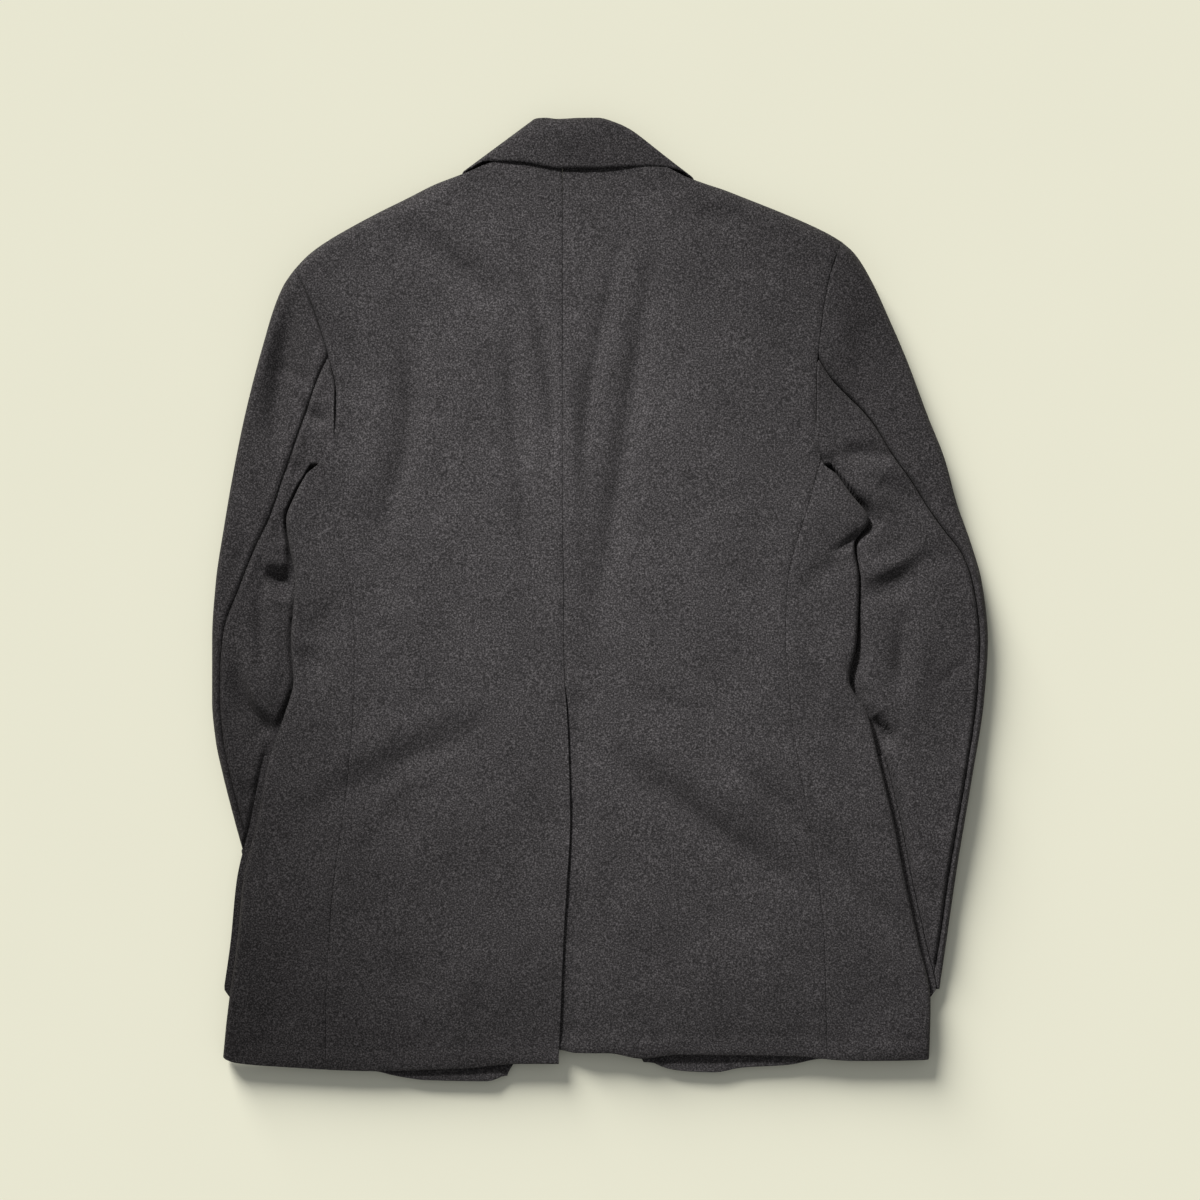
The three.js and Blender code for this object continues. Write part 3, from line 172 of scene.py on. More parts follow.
# The sleeves' points are closer than the body's, because their cloth dives under the body
SLEEVE_GRID_SHARE = 0.6
# Steps along the line of a table and of a fold, and halvings of a range in a search
LINE_STEPS = 160
FOLD_STEPS = 14
HALVINGS = 40

# How a fold fades at its ends, and the waves that make the cloth uneven
FOLD_END = 0.02
FOLD_FADE_POWER = 0.6
WAVES = 26
SHORTEST_WAVE = 0.6
LONGEST_WAVE = 1.7

# Fine form of the cloth: seams, hems and unevenness
SEAM_SINK = 0.55
ARMHOLE_SINK = {"left": 2.3, "right": 1.0}
ELBOW_SEAM_SINK = {"left": 1.9, "right": 3.0}
SEAM_WIDTH = 1.5
SEAM_LIP = 0.2
SEAM_LIP_AT = 2.6 * SEAM_WIDTH
SEAM_LIP_WIDTH = 1.6 * SEAM_WIDTH
ARMHOLE_BLEND = 24
ARMHOLE_GAP_BELOW = 12
PUCKER = 0.13
PUCKER_WIDTH = 9
CENTRE_PUCKER_WIDTH = 7
ELBOW_PUCKER_WIDTH = 8
HEAD_PUCKER_WIDTH = 10
HEM_DEPTH = 17.5
HEM_GROOVE = 0.25
HEM_GROOVE_WIDTH = 1.8
HEM_UNEVEN = 0.5
HEM_FULL = 0.5
HEM_FULL_START = 3
HEM_FULL_END = 5
HEM_FOLD = 2.5
FRONT_HEM_CURL_LENGTH = 34
VENT_EDGE = 0.5
BROAD_RIPPLE = 0.75
FINE_RIPPLE = 0.1
COLLAR_RIPPLE = 0.375
COLLAR_RIPPLES_CLOSER = 1.5
COLLAR_EDGE_SINK = 0.6
COLLAR_EDGE_WIDTH = 2.2
COLLAR_SEWN = 0.15
COLLAR_SEWN_INSET = 5
COLLAR_SEWN_WIDTH = 1.6
POCKET_STITCH_INSET = 6
POCKET_STITCH_DEPTH = 0.3
POCKET_STITCH_WIDTH = 1.5

# How far from the ends of a piece its small creases fade out
BACK_HEM_FADE = 14
SIDE_HEM_FADE = 12
TOP_FADE = 20
HEAD_FADE = 30
CUFF_FADE = 10

# Buttons, stage and materials
BUTTON_STEPS = 48
BUTTON_MERGE = 0.01
BUTTON_SHARP_ANGLE = 50
# Half a section, as share of the radius and height, from the middle of the face to the middle of the back
BUTTON_SECTION = (
    (0, 0.8), (0.45, 0.8), (0.6, 0.7), (0.72, 0.15), (0.82, 0), (0.93, 0.25),
    (1, 1.1), (1, 1.7), (0.96, 2.4), (0.85, 2.85), (0.6, 3), (0, 3),
)
HOLE_RADIUS = 0.9
HOLE_SPACING = 1.8
HOLE_SEGMENTS = 14
DRILL_LENGTH = 8
STITCH_STEP = 3
STITCH_LENGTH = 2.3
THREAD_WIDTH = 0.5
STITCH_LINE_TOP = 0.01
STITCH_LINE_STEPS = 30
STITCH_ACROSS_STEPS = 14
STITCH_CORNER = 6
STITCH_CORNER_CUT = 2
STITCH_SUNK = 0.05
FLOOR_SIZE = 30
FLOOR_DROP = 0.0002
WORLD_LIGHT = 0.28
KEY_FROM = (-0.6, 1.3, 0.8)
KEY_SPREAD = 25
FLOOR_KEY_FROM = (-0.75, 1.5, 0.53)
FLOOR_KEY_SPREAD = 28
POOL_FROM = (-0.66, 1.36, 1.14)
POOL_AT = (0.035, -0.03, 0.02)
POOL_WIDTH = 26.5
POOL_RADIUS = 0.12
FLECK_SIZE = 1.3
CLOUD_SIZE = 45
NAP_SIZE = 1.1
NAP_DEPTH = 0.25
STREAK_SIZE = 3
TWIST_SIZE = 0.5
FLANNEL = "wool flannel, milled and brushed"
HORN = "horn, turned and polished"
THREAD = "sewing thread, mercerised"
BOARD = "painted board, matte"


def table(names, *rows):
    """A short table as one array for each named column."""
    return {name: np.array(column) for name, column in zip(names, zip(*rows))}


def for_halves(names, left, right):
    """The same short table for each half of the jacket."""
    return {"left": table(names, *left), "right": table(names, *right)}


BODY = table(
    ("y", "edge_left", "seam_left", "front_left", "centre", "front_right", "seam_right", "edge_right"),
    (116, -235, -229, -191, -31, 146, 182, 186),
    (87, -251.5, -224, -190.5, -31, 146.5, 174, 207.5),
    (66, -259, -219, -190, -30.5, 147, 168, 222),
    (46, -256.5, -213.5, -190, -30.5, 147.5, 161.5, 210),
    (17, -251.5, -207, -190, -30, 148, 155, 214),
    (-33, -255, -202.5, -190.5, -30, 149, 153, 212),
    (-66, -253, -202.5, -193, -29, 151, 155, 206),
    (-95, -260.5, -203.5, -198, -27, 156, 158, 221),
    (-133, -273, -206.5, -207, -25.5, 165, 163.5, 230.5),
    (-183, -283, -212.5, -218, -24.5, 177, 172.5, 242.5),
    (-232, -294.5, -219.5, -228.5, -27, 187.5, 180.5, 252),
    (-282, -299.5, -223.5, -235.5, -30, 198, 185, 263),
    (-332, -306.5, -226, -241.5, -32, 206, 186.5, 273),
    (-378, -312, -226.5, -247, -34, 208, 187.5, 272.5),
)
ARMHOLE = for_halves(
    ("y", "x"),
    [
        (273, -252), (251, -240.5), (224, -230.5), (197.5, -223), (174, -218), (153.5, -218.5),
        (133, -223), (116, -229),
    ],
    [
        (296, 199), (269, 189.5), (241, 184), (211.5, 180.5), (187, 178.5), (158, 178.5),
        (133.5, 179.5), (116, 182),
    ],
)
SLEEVE_HEAD = for_halves(
    ("y", "x"),
    [
        (140, -218.5), (124, -212), (112, -203), (99.5, -191),
    ],
    [
        (140, 178), (126, 172), (114, 160), (104, 145),
    ],
)
FRONT_ARMHOLE = for_halves(
    ("y", "x"),
    [
        (273, -252), (241, -233), (199, -214), (158, -204), (124, -197), (99.5, -191),
    ],
    [
        (296, 199), (262, 182), (215, 165), (170, 155), (130, 149), (104, 145),
    ],
)
SHOULDER = for_halves(
    ("x", "y"),
    [
        (-108, 353.5), (-133, 345), (-159, 332), (-184, 319.5), (-207, 307), (-227, 295), (-241, 284.5),
        (-252, 273),
    ],
    [
        (71.5, 348.5), (99.5, 340), (120, 332), (151, 319.5), (175, 309), (189, 302), (199, 296),
    ],
)
NECK = table(
    ("x", "y"),
    (-108, 353.5), (-92, 360.5), (-66, 366), (-31, 367.5), (10, 366), (45, 361), (71.5, 348.5),
)
SLEEVE_OUTER = for_halves(
    ("y", "x"),
    [
        (273, -252), (260, -261), (239, -270), (213, -278), (182.5, -286.5), (149.5, -294.5),
        (115.5, -301.5), (58, -311.5), (14, -318), (-33, -321), (-83, -321), (-116, -318),
        (-144.5, -312), (-180, -303), (-249, -284.5), (-320, -270),
    ],
    [
        (296, 199), (286, 210), (264, 224), (232.5, 239), (201.5, 252.5), (151, 271.5), (117, 285),
        (79, 295.5), (46.5, 307), (14, 316), (-33, 321), (-81, 318), (-152, 307), (-221.5, 295.5),
        (-291, 285.5), (-322, 281),
    ],
)
SLEEVE_INNER = for_halves(
    ("y", "x"),
    [
        (273, -148), (182.5, -170), (99.5, -191), (58, -166), (0, -147), (-83, -145), (-166, -141),
        (-249, -133), (-320, -129),
    ],
    [
        (296, 95), (182.5, 120), (104, 145), (58, 130), (0, 126), (-83, 141), (-166, 146), (-249, 145),
        (-322, 141),
    ],
)
SLEEVE_SECTIONS = for_halves(
    ("down", "back_seam", "height"),
    [
        (0, 80, 19), (0.06, 73, 18), (0.12, 70, 17), (0.2, 64, 16.4), (0.25, 57, 16), (0.3, 46, 15.7),
        (0.37, 30, 15.2), (0.44, 18, 14.8), (0.5, 9, 14.6), (0.56, 6.5, 14.7), (0.62, 6.5, 15),
        (0.75, 6, 15), (0.88, 7, 13), (1, 8, 11),
    ],
    [
        (0, 86, 20), (0.06, 79, 19), (0.1, 72, 18.4), (0.19, 55, 17.5), (0.24, 49, 17),
        (0.33, 28, 16.3), (0.38, 17, 15.8), (0.42, 8.5, 15.6), (0.47, 6.5, 15.4), (0.53, 6, 15),
        (0.7, 6, 15), (0.85, 7, 14), (1, 7, 12),
    ],
)
BACK_HEM = for_halves(
    ("x", "y"),
    [
        (-312, -377.5), (-300, -382.5), (-262, -386), (-188, -389.5), (-115, -387.5), (-66, -383.5),
        (-35.5, -383.5),
    ],
    [
        (-75, -374), (-34, -372), (-21, -374.5), (7, -374.5), (34, -379), (63, -376), (156, -377),
        (211, -381), (270, -380), (273, -376),
    ],
)
FRONT_HEM = for_halves(
    ("x", "y"),
    [
        (-312, -378), (-257, -387), (-188, -390), (-166, -394.5), (-143, -397.5), (-93, -398.4),
        (-80, -394),
    ],
    [
        (44, -383), (55, -387.5), (70, -390), (95, -391), (117, -387), (156, -384.5), (183, -379.5),
        (273, -379),
    ],
)
FRONT_EDGE = table(
    ("y", "left", "right", "lapel"),
    (353.5, -108, 71.5, 54),
    (292, -76, 31, 66),
    (250, -67, 22, 88),
    (150, -46, 1, 71),
    (50, -24, -20, 38),
    (-40, -2, -41, 14),
    (-130, -1, -41, 14),
    (-208, -8, -30, 14),
    (-274, -24, -10, 14),
    (-332, -46, 10, 14),
    (-372, -64, 30, 14),
    (-392, -77, 42, 14),
)
BACK_HEIGHTS = table(
    ("y", "centre", "blade", "side"),
    (368, 11, 13, 16), (335, 15, 20, 23), (275, 17.5, 24, 26.5), (180, 18, 21.5, 22.5),
    (80, 18, 20, 19.5), (-60, 18, 19.5, 18.5), (-180, 18, 19.5, 18.5), (-320, 16.5, 17.5, 16.5),
    (-398, 9.5, 9.5, 9.5),
)
# Beside the body's edge: how far out the sleeve's cloth starts to dive, and how low it lies before that
EDGE_DIVE = table(
    ("y", "left_start", "left_low", "right_start", "right_low"),
    (126, 1.5, 3.2, 1.5, 3.2), (112, 1.8, 2.4, 2, 2.8), (98, 2.4, 1.0, 3.8, 1.8),
    (88, 2.4, 0.6, 4.4, 1.6), (78, 2.4, 0.6, 7, 3.0), (60, 3, 1.6, 9, 3.6), (44, 4, 2.4, 4, 2.6),
    (32, 8, 3.2, 2.4, 1.4), (18, 14, 4.6, 2.4, 1.2), (6, 7, 3.6, 2.4, 1.2), (-8, 3, 2.2, 2.6, 1.6),
    (-30, 4, 2.6, 6, 3.2), (-60, 4, 2.8, 12, 4.4), (-74, 5, 3.0, 11, 4.4), (-88, 6, 3.4, 4.5, 3.4),
    (-98, 8, 3.8, 5, 3.8), (-108, 10, 4.2, 13, 5.0), (-116, 9, 3.6, 10, 4.0), (-128, 3, 2.2, 3, 2.2),
    (-320, 4, 2.2, 4, 2.2),
)
# The fronts' hems curl up where they show below the back
FRONT_HEM_CURL = table(
    ("x", "lift"),
    (-205, 0), (-170, 5), (-90, 5), (-58, 0), (20, 0), (56, 5), (165, 5), (200, 0),
)
# Large folds: three points of a curved line, how far it reaches on each side, and how high it stands
# or, where that is below nought, how deep it sinks
FOLD_COLUMNS = ("name", "x1", "y1", "x2", "y2", "x3", "y3", "width", "height")
BODY_FOLDS = table(
    FOLD_COLUMNS,
    ("left shoulder", -166, 312, -122, 276, -80, 241, 13, -4),
    ("shoulder rise", -148, 326, -104, 294, -62, 262, 13, 2),
    ("left blade", -167, 240, -156, 150, -186, 44, 13, -4.5),
    ("left blade rise", -192, 236, -182, 150, -208, 70, 12, 2),
    ("left armhole", -242, 248, -210, 206, -178, 168, 10, -3),
    ("centre left inner", -69, 298, -46, 212, -36, 122, 8, -3),
    ("centre left outer", -74, 232, -67, 120, -50, 0, 10, -3.5),
    ("centre rise", -24, 230, -24, 140, -24, 50, 9, 2.5),
    ("centre right", 20, 298, -4, 193, -14, 100, 9, -3),
    ("right long", 44, 290, 25, 155, -3, -20, 12, -4.5),
    ("left waist rise", -88, -82, -174, -112, -256, -162, 14, 3),
    ("left waist", -88, -107, -178, -143, -256, -194, 13, -4.5),
    ("right waist rise", 20, -96, 104, -160, 188, -212, 15, 3),
    ("right waist", 3, -118, 84, -184, 170, -240, 14, -4.5),
    ("side rise", 142, -122, 200, -180, 252, -258, 12, 2.5),
    ("right side", 122, -140, 180, -203, 246, -282, 12, -4),
    ("left side", -214, 0, -232, -40, -252, -74, 13, -3.5),
    ("right side top", 162, 0, 184, 23, 208, 33, 9, -3),
    ("right side low", 160, -50, 186, -84, 212, -118, 10, -3),
    ("left hem", -218, -308, -180, -311, -142, -316, 18, -2.5),
    ("hem inner", -88, -298, -100, -328, -116, -358, 12, -2.5),
    ("vent side", -18, -244, -3, -304, 14, -360, 10, -2.5),
    ("right corner", 148, -316, 163, -338, 178, -362, 13, -2.5),
    ("right neck", 26, 338, 46, 340, 70, 337, 9, -2.5),
    ("right shoulder", 80, 314, 102, 315, 128, 311, 10, -2.5),
)
SLEEVE_FOLDS = table(
    FOLD_COLUMNS,
    ("left upper", -252, 236, -266, 178, -268, 118, 11, -5),
    ("left elbow", -282, 14, -267, 10, -251, 6, 9, -4),
    ("left elbow rise", -280, 32, -266, 28, -254, 22, 9, 3),
    ("left forearm", -301, -50, -294, -90, -266, -116, 9, -5),
    ("left forearm rise", -287, -40, -279, -74, -262, -92, 9, 3),
    ("right upper", 200, 122, 222, 121, 244, 117, 9, -3.5),
    ("right upper slant", 232, 102, 252, 88, 272, 70, 10, -3),
    ("right elbow rise", 214, 24, 246, 30, 266, 46, 9, 4),
    ("right elbow", 214, 8, 240, 12, 266, 32, 13, -4),
    ("right forearm", 250, -12, 249, -44, 247, -76, 10, -3),
    ("right hollow", 224, -98, 234, -108, 245, -118, 11, -4),
)
COLLAR = table(
    ("edge_x", "edge_y", "edge_z", "roll_x", "roll_y", "roll_z", "rise"),
    (-133, 272, 0, -80, 296, 0, 0),
    (-129, 300, 0, -72, 332, 0, 0),
    (-122, 330, 0, -63, 366, 0, 0),
    (-116, 349, 1.4, -58, 390, 1.4, 0),
    (-113, 354.6, 7.5, -55.5, 397, 9, 0),
    (-107, 357, 11.8, -52, 398, 11.5, 1.5),
    (-93, 362.4, 14.2, -45, 398.4, 12, 2.5),
    (-66, 361.4, 16.5, -34, 397.4, 12, 3.5),
    (-32, 356, 17.5, -18, 398.2, 12, 4),
    (-5, 356, 17, -2, 398.4, 12, 4),
    (37, 358, 16.2, 14, 394, 12, 3.5),
    (62, 355.4, 16.4, 26, 388, 12, 2.5),
    (73, 351.6, 13.6, 36, 380, 11.5, 1.5),
    (77.5, 348.2, 8.4, 40, 375.5, 9, 0),
    (79.5, 342, 1.4, 39.5, 368, 1.4, 0),
    (83, 326, 0, 37, 346, 0, 0),
    (87, 299, 0, 34, 322, 0, 0),
    (90, 272, 0, 34, 296, 0, 0),
)
STAND = table(
    ("roll_x", "roll_y", "neck_x"),
    (-50, 395, -88),
    (-15, 395, -16),
    (20, 385, 56),
)
BUTTONS = table(
    ("name", "x", "y"),
    ("button_upper", -21, -74),
    ("button_lower", -21, -178),
)

# Finer creases, given in the same way as the large folds
BODY_CREASES = table(
    FOLD_COLUMNS,
    ("left shoulder core", -166, 312, -122, 276, -80, 241, 7, -1.6),
    ("left blade core", -167, 240, -156, 150, -186, 44, 8, -2.0),
    ("centre left inner core", -69, 298, -46, 212, -36, 122, 5, -1.8),
    ("centre left outer core", -74, 232, -67, 120, -50, 0, 6, -1.6),
    ("right long core", 44, 290, 25, 155, -3, -20, 7, -2.0),
    ("centre right core", 20, 298, -4, 193, -14, 100, 5, -1.4),
    ("left waist ease", -88, -107, -178, -143, -256, -194, 17, 1.2),
    ("right waist core", 3, -118, 84, -184, 170, -240, 8, -1.0),
    ("right side core", 122, -140, 180, -203, 246, -282, 7, -2.4),
    ("centre seam rise", -36, 240, -34, 170, -32, 100, 4, 0.9),
    ("right of seam", -22, 150, -20, 60, -18, -40, 6, 0.9),
    ("left blade inner", -122, 230, -126, 150, -131, 60, 9, -1.0),
    ("left blade low", -199, 93, -187, 66, -173, 40, 9, -1.3),
    ("left armhole short", -219, 180, -206, 172, -192, 158, 5, -1.4),
    ("left armhole low", -219, 150, -207, 138, -196, 118, 6, -1.2),
    ("left seam top", -222, 112, -214, 84, -208, 52, 6, -1.1),
    ("right armhole top", 150, 278, 166, 276, 184, 268, 8, -1.3),
    ("right armhole short", 148, 214, 153, 202, 159, 188, 7, -1.3),
    ("right armhole low", 176, 150, 164, 140, 154, 120, 7, -1.1),
    ("right blade faint", 124, 66, 142, 63, 162, 64, 8, -1.0),
    ("left side spoke", -256, -44, -236, -50, -214, -62, 5, -1.8),
    ("left side spoke up", -250, -36, -236, -20, -219, -4, 5, -1.3),
    ("left side rise", -252, -34, -234, -36, -214, -44, 5, 1.2),
    ("right side spoke", 168, -52, 180, -66, 191, -82, 5, -1.9),
    ("right edge wedge", 205, -42, 210, -64, 220, -88, 6, -2.8),
    ("right side low spoke", 189, -96, 203, -108, 218, -120, 5, -1.8),
    ("right underarm hook", 200, 92, 216, 84, 221, 66, 4, -3.5),
    ("right underarm low hook", 220, 60, 206, 48, 190, 39, 3.5, -4.5),
    ("right underarm bulge", 192, 72, 204, 64, 208, 58, 6, 1.8),
    ("right side mark", 166, -193, 173, -192, 181, -194, 3, -0.8),
    ("right waist faint", 34, -80, 66, -87, 99, -99, 8, -1.4),
    ("right waist second", 52, -134, 100, -176, 150, -216, 7, 1.0),
    ("left waist second", -108, -128, -160, -150, -206, -206, 7, 1.0),
    ("left hem spot", -284, -338, -272, -346, -260, -354, 8, -1.6),
    ("left hem middle", -160, -240, -156, -290, -158, -345, 10, -1.0),
    ("right of vent faint", 9, -224, 9, -248, 8, -272, 6, -1.1),
    ("right hem inner", 48, -328, 51, -348, 54, -368, 7, -1.6),
    ("right hem rise", 84, -300, 92, -330, 98, -362, 10, 1.2),
    ("neck left", -62, 316, -42, 310, -20, 300, 9, -1.2),
    ("neck left high", -86, 342, -76, 336, -64, 328, 8, -1.2),
)
SLEEVE_CREASES = table(
    FOLD_COLUMNS,
    ("left upper core", -253, 248, -264, 190, -268, 128, 9, -5.6),
    ("left cap", -266, 193, -254, 187, -240, 177, 5, -2.6),
    ("left cap low", -256, 172, -246, 160, -240, 150, 5, -2.2),
    ("left armpit", -242, 154, -233, 150, -225, 146, 6, -4.2),
    ("left armpit low", -258, 116, -250, 108, -242, 98, 6, -3.4),
    ("left outer long", -292, 160, -300, 110, -306, 60, 7, -1.2),
    ("left forearm line", -280, 30, -281, -22, -280, -76, 5, -4.2),
    ("left forearm swell", -269, -8, -268, -36, -267, -66, 6, 2.2),
    ("left elbow wedge", -277, 24, -264, 18, -251, 9, 6, -7.0),
    ("left elbow wedge deep", -266, 24, -258, 21, -251, 18, 6, -4.0),
    ("left elbow lip", -276, 12, -268, 2, -256, -4, 4, 3.2),
    ("left elbow high", -274, 42, -262, 44, -252, 40, 6, 1.8),
    ("left forearm core", -300, -54, -292, -86, -268, -114, 5, -4.6),
    ("left forearm crest", -290, -56, -284, -80, -266, -100, 5, 3.0),
    ("left wrist", -304, -150, -290, -160, -272, -166, 6, -1.2),
    ("left wrist rise", -302, -136, -288, -146, -272, -150, 6, 1.0),
    ("right cap", 206, 226, 214, 208, 222, 190, 7, -1.8),
    ("right cap rise", 196, 222, 202, 204, 208, 184, 7, 1.2),
    ("right armpit band", 198, 121, 220, 120, 244, 117, 6, -2.4),
    ("right armpit ridge", 194, 103, 216, 92, 240, 78, 7, 2.2),
    ("right crook", 230, 98, 250, 86, 268, 66, 6, -1.6),
    ("right elbow crest", 214, 14, 240, 26, 262, 42, 6, 1.2),
    ("right elbow core", 212, 1, 238, 14, 258, 28, 8, -0.6),
    ("right elbow dark", 250, 34, 270, 34, 292, 34, 9, -2.6),
    ("right elbow low", 222, -12, 242, -16, 262, -14, 7, -1.6),
    ("right forearm line", 249, -15, 248, -44, 246, -74, 6, -1.8),
    ("right outer", 281, -70, 291, -60, 302, -49, 5, -2.0),
    ("left cap hollow", -262, 214, -250, 196, -240, 170, 10, -2.2),
    ("right inner swell", 226, 70, 232, -50, 256, -200, 28, 2.6),
    ("right forearm rise", 264, -20, 264, -60, 260, -100, 8, 1.6),
    ("right hollow core", 222, -98, 232, -108, 246, -120, 8, -6.0),
    ("right wrist", 246, -230, 260, -240, 274, -250, 7, -1.3),
    ("right wrist rise", 248, -212, 262, -222, 276, -230, 7, 1.0),
    ("right cuff", 262, -270, 270, -290, 272, -312, 6, -0.9),
)


def lerp(a, b, t):
    return a + (b - a) * t


def smooth(start, end, x):
    t = np.clip((x - start) / (end - start), 0, 1)
    return t * t * (3 - 2 * t)


def bell(distance, width):
    """One on a line, and softly down to nothing at about twice the width from it."""
    return np.exp(-((distance / width) ** 2))


def follow(rows, by, to):
    """A smooth curve through a table's rows that never overshoots them and is level beyond them."""
    order = np.argsort(rows[by], kind="stable")
    at = rows[by][order].astype(float)
    value = rows[to][order].astype(float)
    step = np.diff(at)
    steep = np.diff(value) / step
    slope = np.concatenate([steep[:1], np.zeros(len(at) - 2), steep[-1:]])
    for i in range(1, len(at) - 1):
        if steep[i - 1] * steep[i] > 0:
            near, far = 2 * step[i] + step[i - 1], step[i] + 2 * step[i - 1]
            slope[i] = (near + far) / (near / steep[i - 1] + far / steep[i])

    def curve(x):
        x = np.clip(x, at[0], at[-1])
        i = np.clip(np.searchsorted(at, x, side="right") - 1, 0, len(step) - 1)
        t = (x - at[i]) / step[i]
        near = (1 + 2 * t) * (1 - t) ** 2 * value[i] + t * (1 - t) ** 2 * step[i] * slope[i]
        far = t * t * (3 - 2 * t) * value[i + 1] - t * t * (1 - t) * step[i] * slope[i + 1]
        return near + far

    return curve


def points_along_x(rows):
    x = np.linspace(rows["x"].min(), rows["x"].max(), LINE_STEPS + 1)
    return x, follow(rows, "x", "y")(x)


def points_along_y(line, high, low):
    y = np.linspace(high, low, LINE_STEPS + 1)
    return line(y), y


def end_by_share(points, left, right):
    """The end of a panel, given as a line of points, as its Y at each share of the panel's width."""
    x, y = points
    share = (x - left(y)) / (right(y) - left(y))
    order = np.argsort(share, kind="stable")
    return lambda u: np.interp(u, share[order], y[order])


def fold_field(folds):
    """Raises or sinks the cloth beside curved lines that fade out at both ends."""
    t = np.linspace(0, 1, FOLD_STEPS + 1)
    lines = []
    for i in range(len(folds["name"])):
        ends = [np.array([folds[f"x{k}"][i], folds[f"y{k}"][i]], float) for k in (1, 2, 3)]
        middle = 2 * ends[1] - (ends[0] + ends[2]) / 2
        points = np.outer((1 - t) ** 2, ends[0]) + np.outer(2 * t * (1 - t), middle)
        points = points + np.outer(t * t, ends[2])
        lines.append((points, float(folds["width"][i]), float(folds["height"][i])))

    def field(x, y):
        total = np.zeros(np.broadcast(x, y).shape)
        for points, width, height in lines:
            nearest = np.full(total.shape, np.inf)
            along = np.zeros(total.shape)
            for i in range(FOLD_STEPS):
                (ax, ay), (bx, by) = points[i], points[i + 1]
                length2 = (bx - ax) ** 2 + (by - ay) ** 2
                s = np.clip(((x - ax) * (bx - ax) + (y - ay) * (by - ay)) / length2, 0, 1)
                distance = np.hypot(x - lerp(ax, bx, s), y - lerp(ay, by, s))
                closer = distance < nearest
                nearest = np.where(closer, distance, nearest)
                along = np.where(closer, (i + s) / FOLD_STEPS, along)
            fade = np.sin(np.pi * np.clip(along, FOLD_END, 1 - FOLD_END)) ** FOLD_FADE_POWER
            total += height * fade * bell(nearest, width)
        return total

    return field


def ripples(seed, length):
    """Gentle unevenness of about one unit: waves of nearly one length that run in all directions."""
    draw = np.random.RandomState(seed)
    turn = draw.uniform(0, 2 * np.pi, WAVES)
    wave = 2 * np.pi / (length * draw.uniform(SHORTEST_WAVE, LONGEST_WAVE, WAVES))
    start = draw.uniform(0, 2 * np.pi, WAVES)

    def field(x, y):
        total = np.zeros(np.broadcast(x, y).shape)
        for a, k, s in zip(turn, wave, start):
            total += np.sin(k * (x * np.cos(a) + y * np.sin(a)) + s)
        return total / math.sqrt(WAVES / 2)

    return field


body_folds = fold_field(BODY_FOLDS)
sleeve_folds = fold_field(SLEEVE_FOLDS)
body_creases = fold_field(BODY_CREASES)
sleeve_creases = fold_field(SLEEVE_CREASES)
broad_ripples = ripples(seed=11, length=90)
fine_ripples = ripples(seed=23, length=21)
seam_ripples = ripples(seed=37, length=12)


class Half:
    """One half of the jacket: the lines that differ between the halves, and which way is outwards."""

    def __init__(self, side):
        armhole, head, front_armhole = ARMHOLE[side], SLEEVE_HEAD[side], FRONT_ARMHOLE[side]
        self.side = side
        self.out = -1 if side == "left" else 1
        self.shoulder = SHOULDER[side]
        self.shoulder_x = self.shoulder["x"][0]
        self.back_hem = BACK_HEM[side]
        self.front_hem = FRONT_HEM[side]
        self.point = (float(armhole["x"][0]), float(armhole["y"][0]))
        self.front_end_y = float(front_armhole["y"][-1])
        self.seam_top = float(BODY["y"][0])
        self.armhole = follow(armhole, "y", "x")
        self.seam = follow(BODY, "y", f"seam_{side}")
        self.edge = follow(BODY, "y", f"edge_{side}")
        self.front_seam_below = follow(BODY, "y", f"front_{side}")
        self.front_armhole = follow(front_armhole, "y", "x")
        seen = armhole["y"] > head["y"][0]
        joined = {name: np.concatenate([armhole[name][seen], head[name]]) for name in ("x", "y")}
        self.sleeve_head = follow(joined, "y", "x")
        self.outer = follow(SLEEVE_OUTER[side], "y", "x")
        self.inner = follow(SLEEVE_INNER[side], "y", "x")
        self.cuff = CUFF[side]
        self.front_edge = follow(FRONT_EDGE, "y", side)
        self.lapel_width = follow(FRONT_EDGE, "y", "lapel")
        self.back_seam = follow(SLEEVE_SECTIONS[side], "down", "back_seam")
        self.sleeve_top = follow(SLEEVE_SECTIONS[side], "down", "height")
        self.dive_start = follow(EDGE_DIVE, "y", f"{side}_start")
        self.edge_low = follow(EDGE_DIVE, "y", f"{side}_low")

    def back_side(self, y):
        return np.where(y > self.seam_top, self.armhole(y), self.seam(y))

    def front_seam(self, y):
        return np.where(y > self.front_end_y, self.front_armhole(y), self.front_seam_below(y))

    def inside(self, line, x, y):
        """How far a point lies towards the middle from a line that runs down the jacket."""
        return self.out * (line(y) - x)


LEFT = Half("left")
RIGHT = Half("right")
HALVES = (LEFT, RIGHT)
centre_seam = follow(BODY, "y", "centre")
hem_curl = follow(FRONT_HEM_CURL, "x", "lift")


def above_pocket_bottom(y):
    """One down to a little below the pockets and cuffs, and nought at the hem."""
    low = POCKET_BOTTOM - HEM_MARGIN
    return smooth(low - HEM_SLOPE, low, y)


def sleeve_under(half, x, y):
    top = half.front_end_y + ARMHOLE_MARGIN
    across = 1 - smooth(SLEEVE_MARGIN, SLEEVE_MARGIN + SLOPE, half.inside(half.inner, x, y))
    above = 1 - smooth(top, top + SLOPE, y)
    return across * above * above_pocket_bottom(y)


def pocket_under(half, x, y):
    reach = POCKET_WIDTH - POCKET_PROUD + POCKET_MARGIN
    top = POCKET_TOP + POCKET_MARGIN
    across = 1 - smooth(reach, reach + SLOPE, half.inside(half.edge, x, y))
    above = 1 - smooth(top, top + SLOPE, y)
    return across * above * above_pocket_bottom(y)


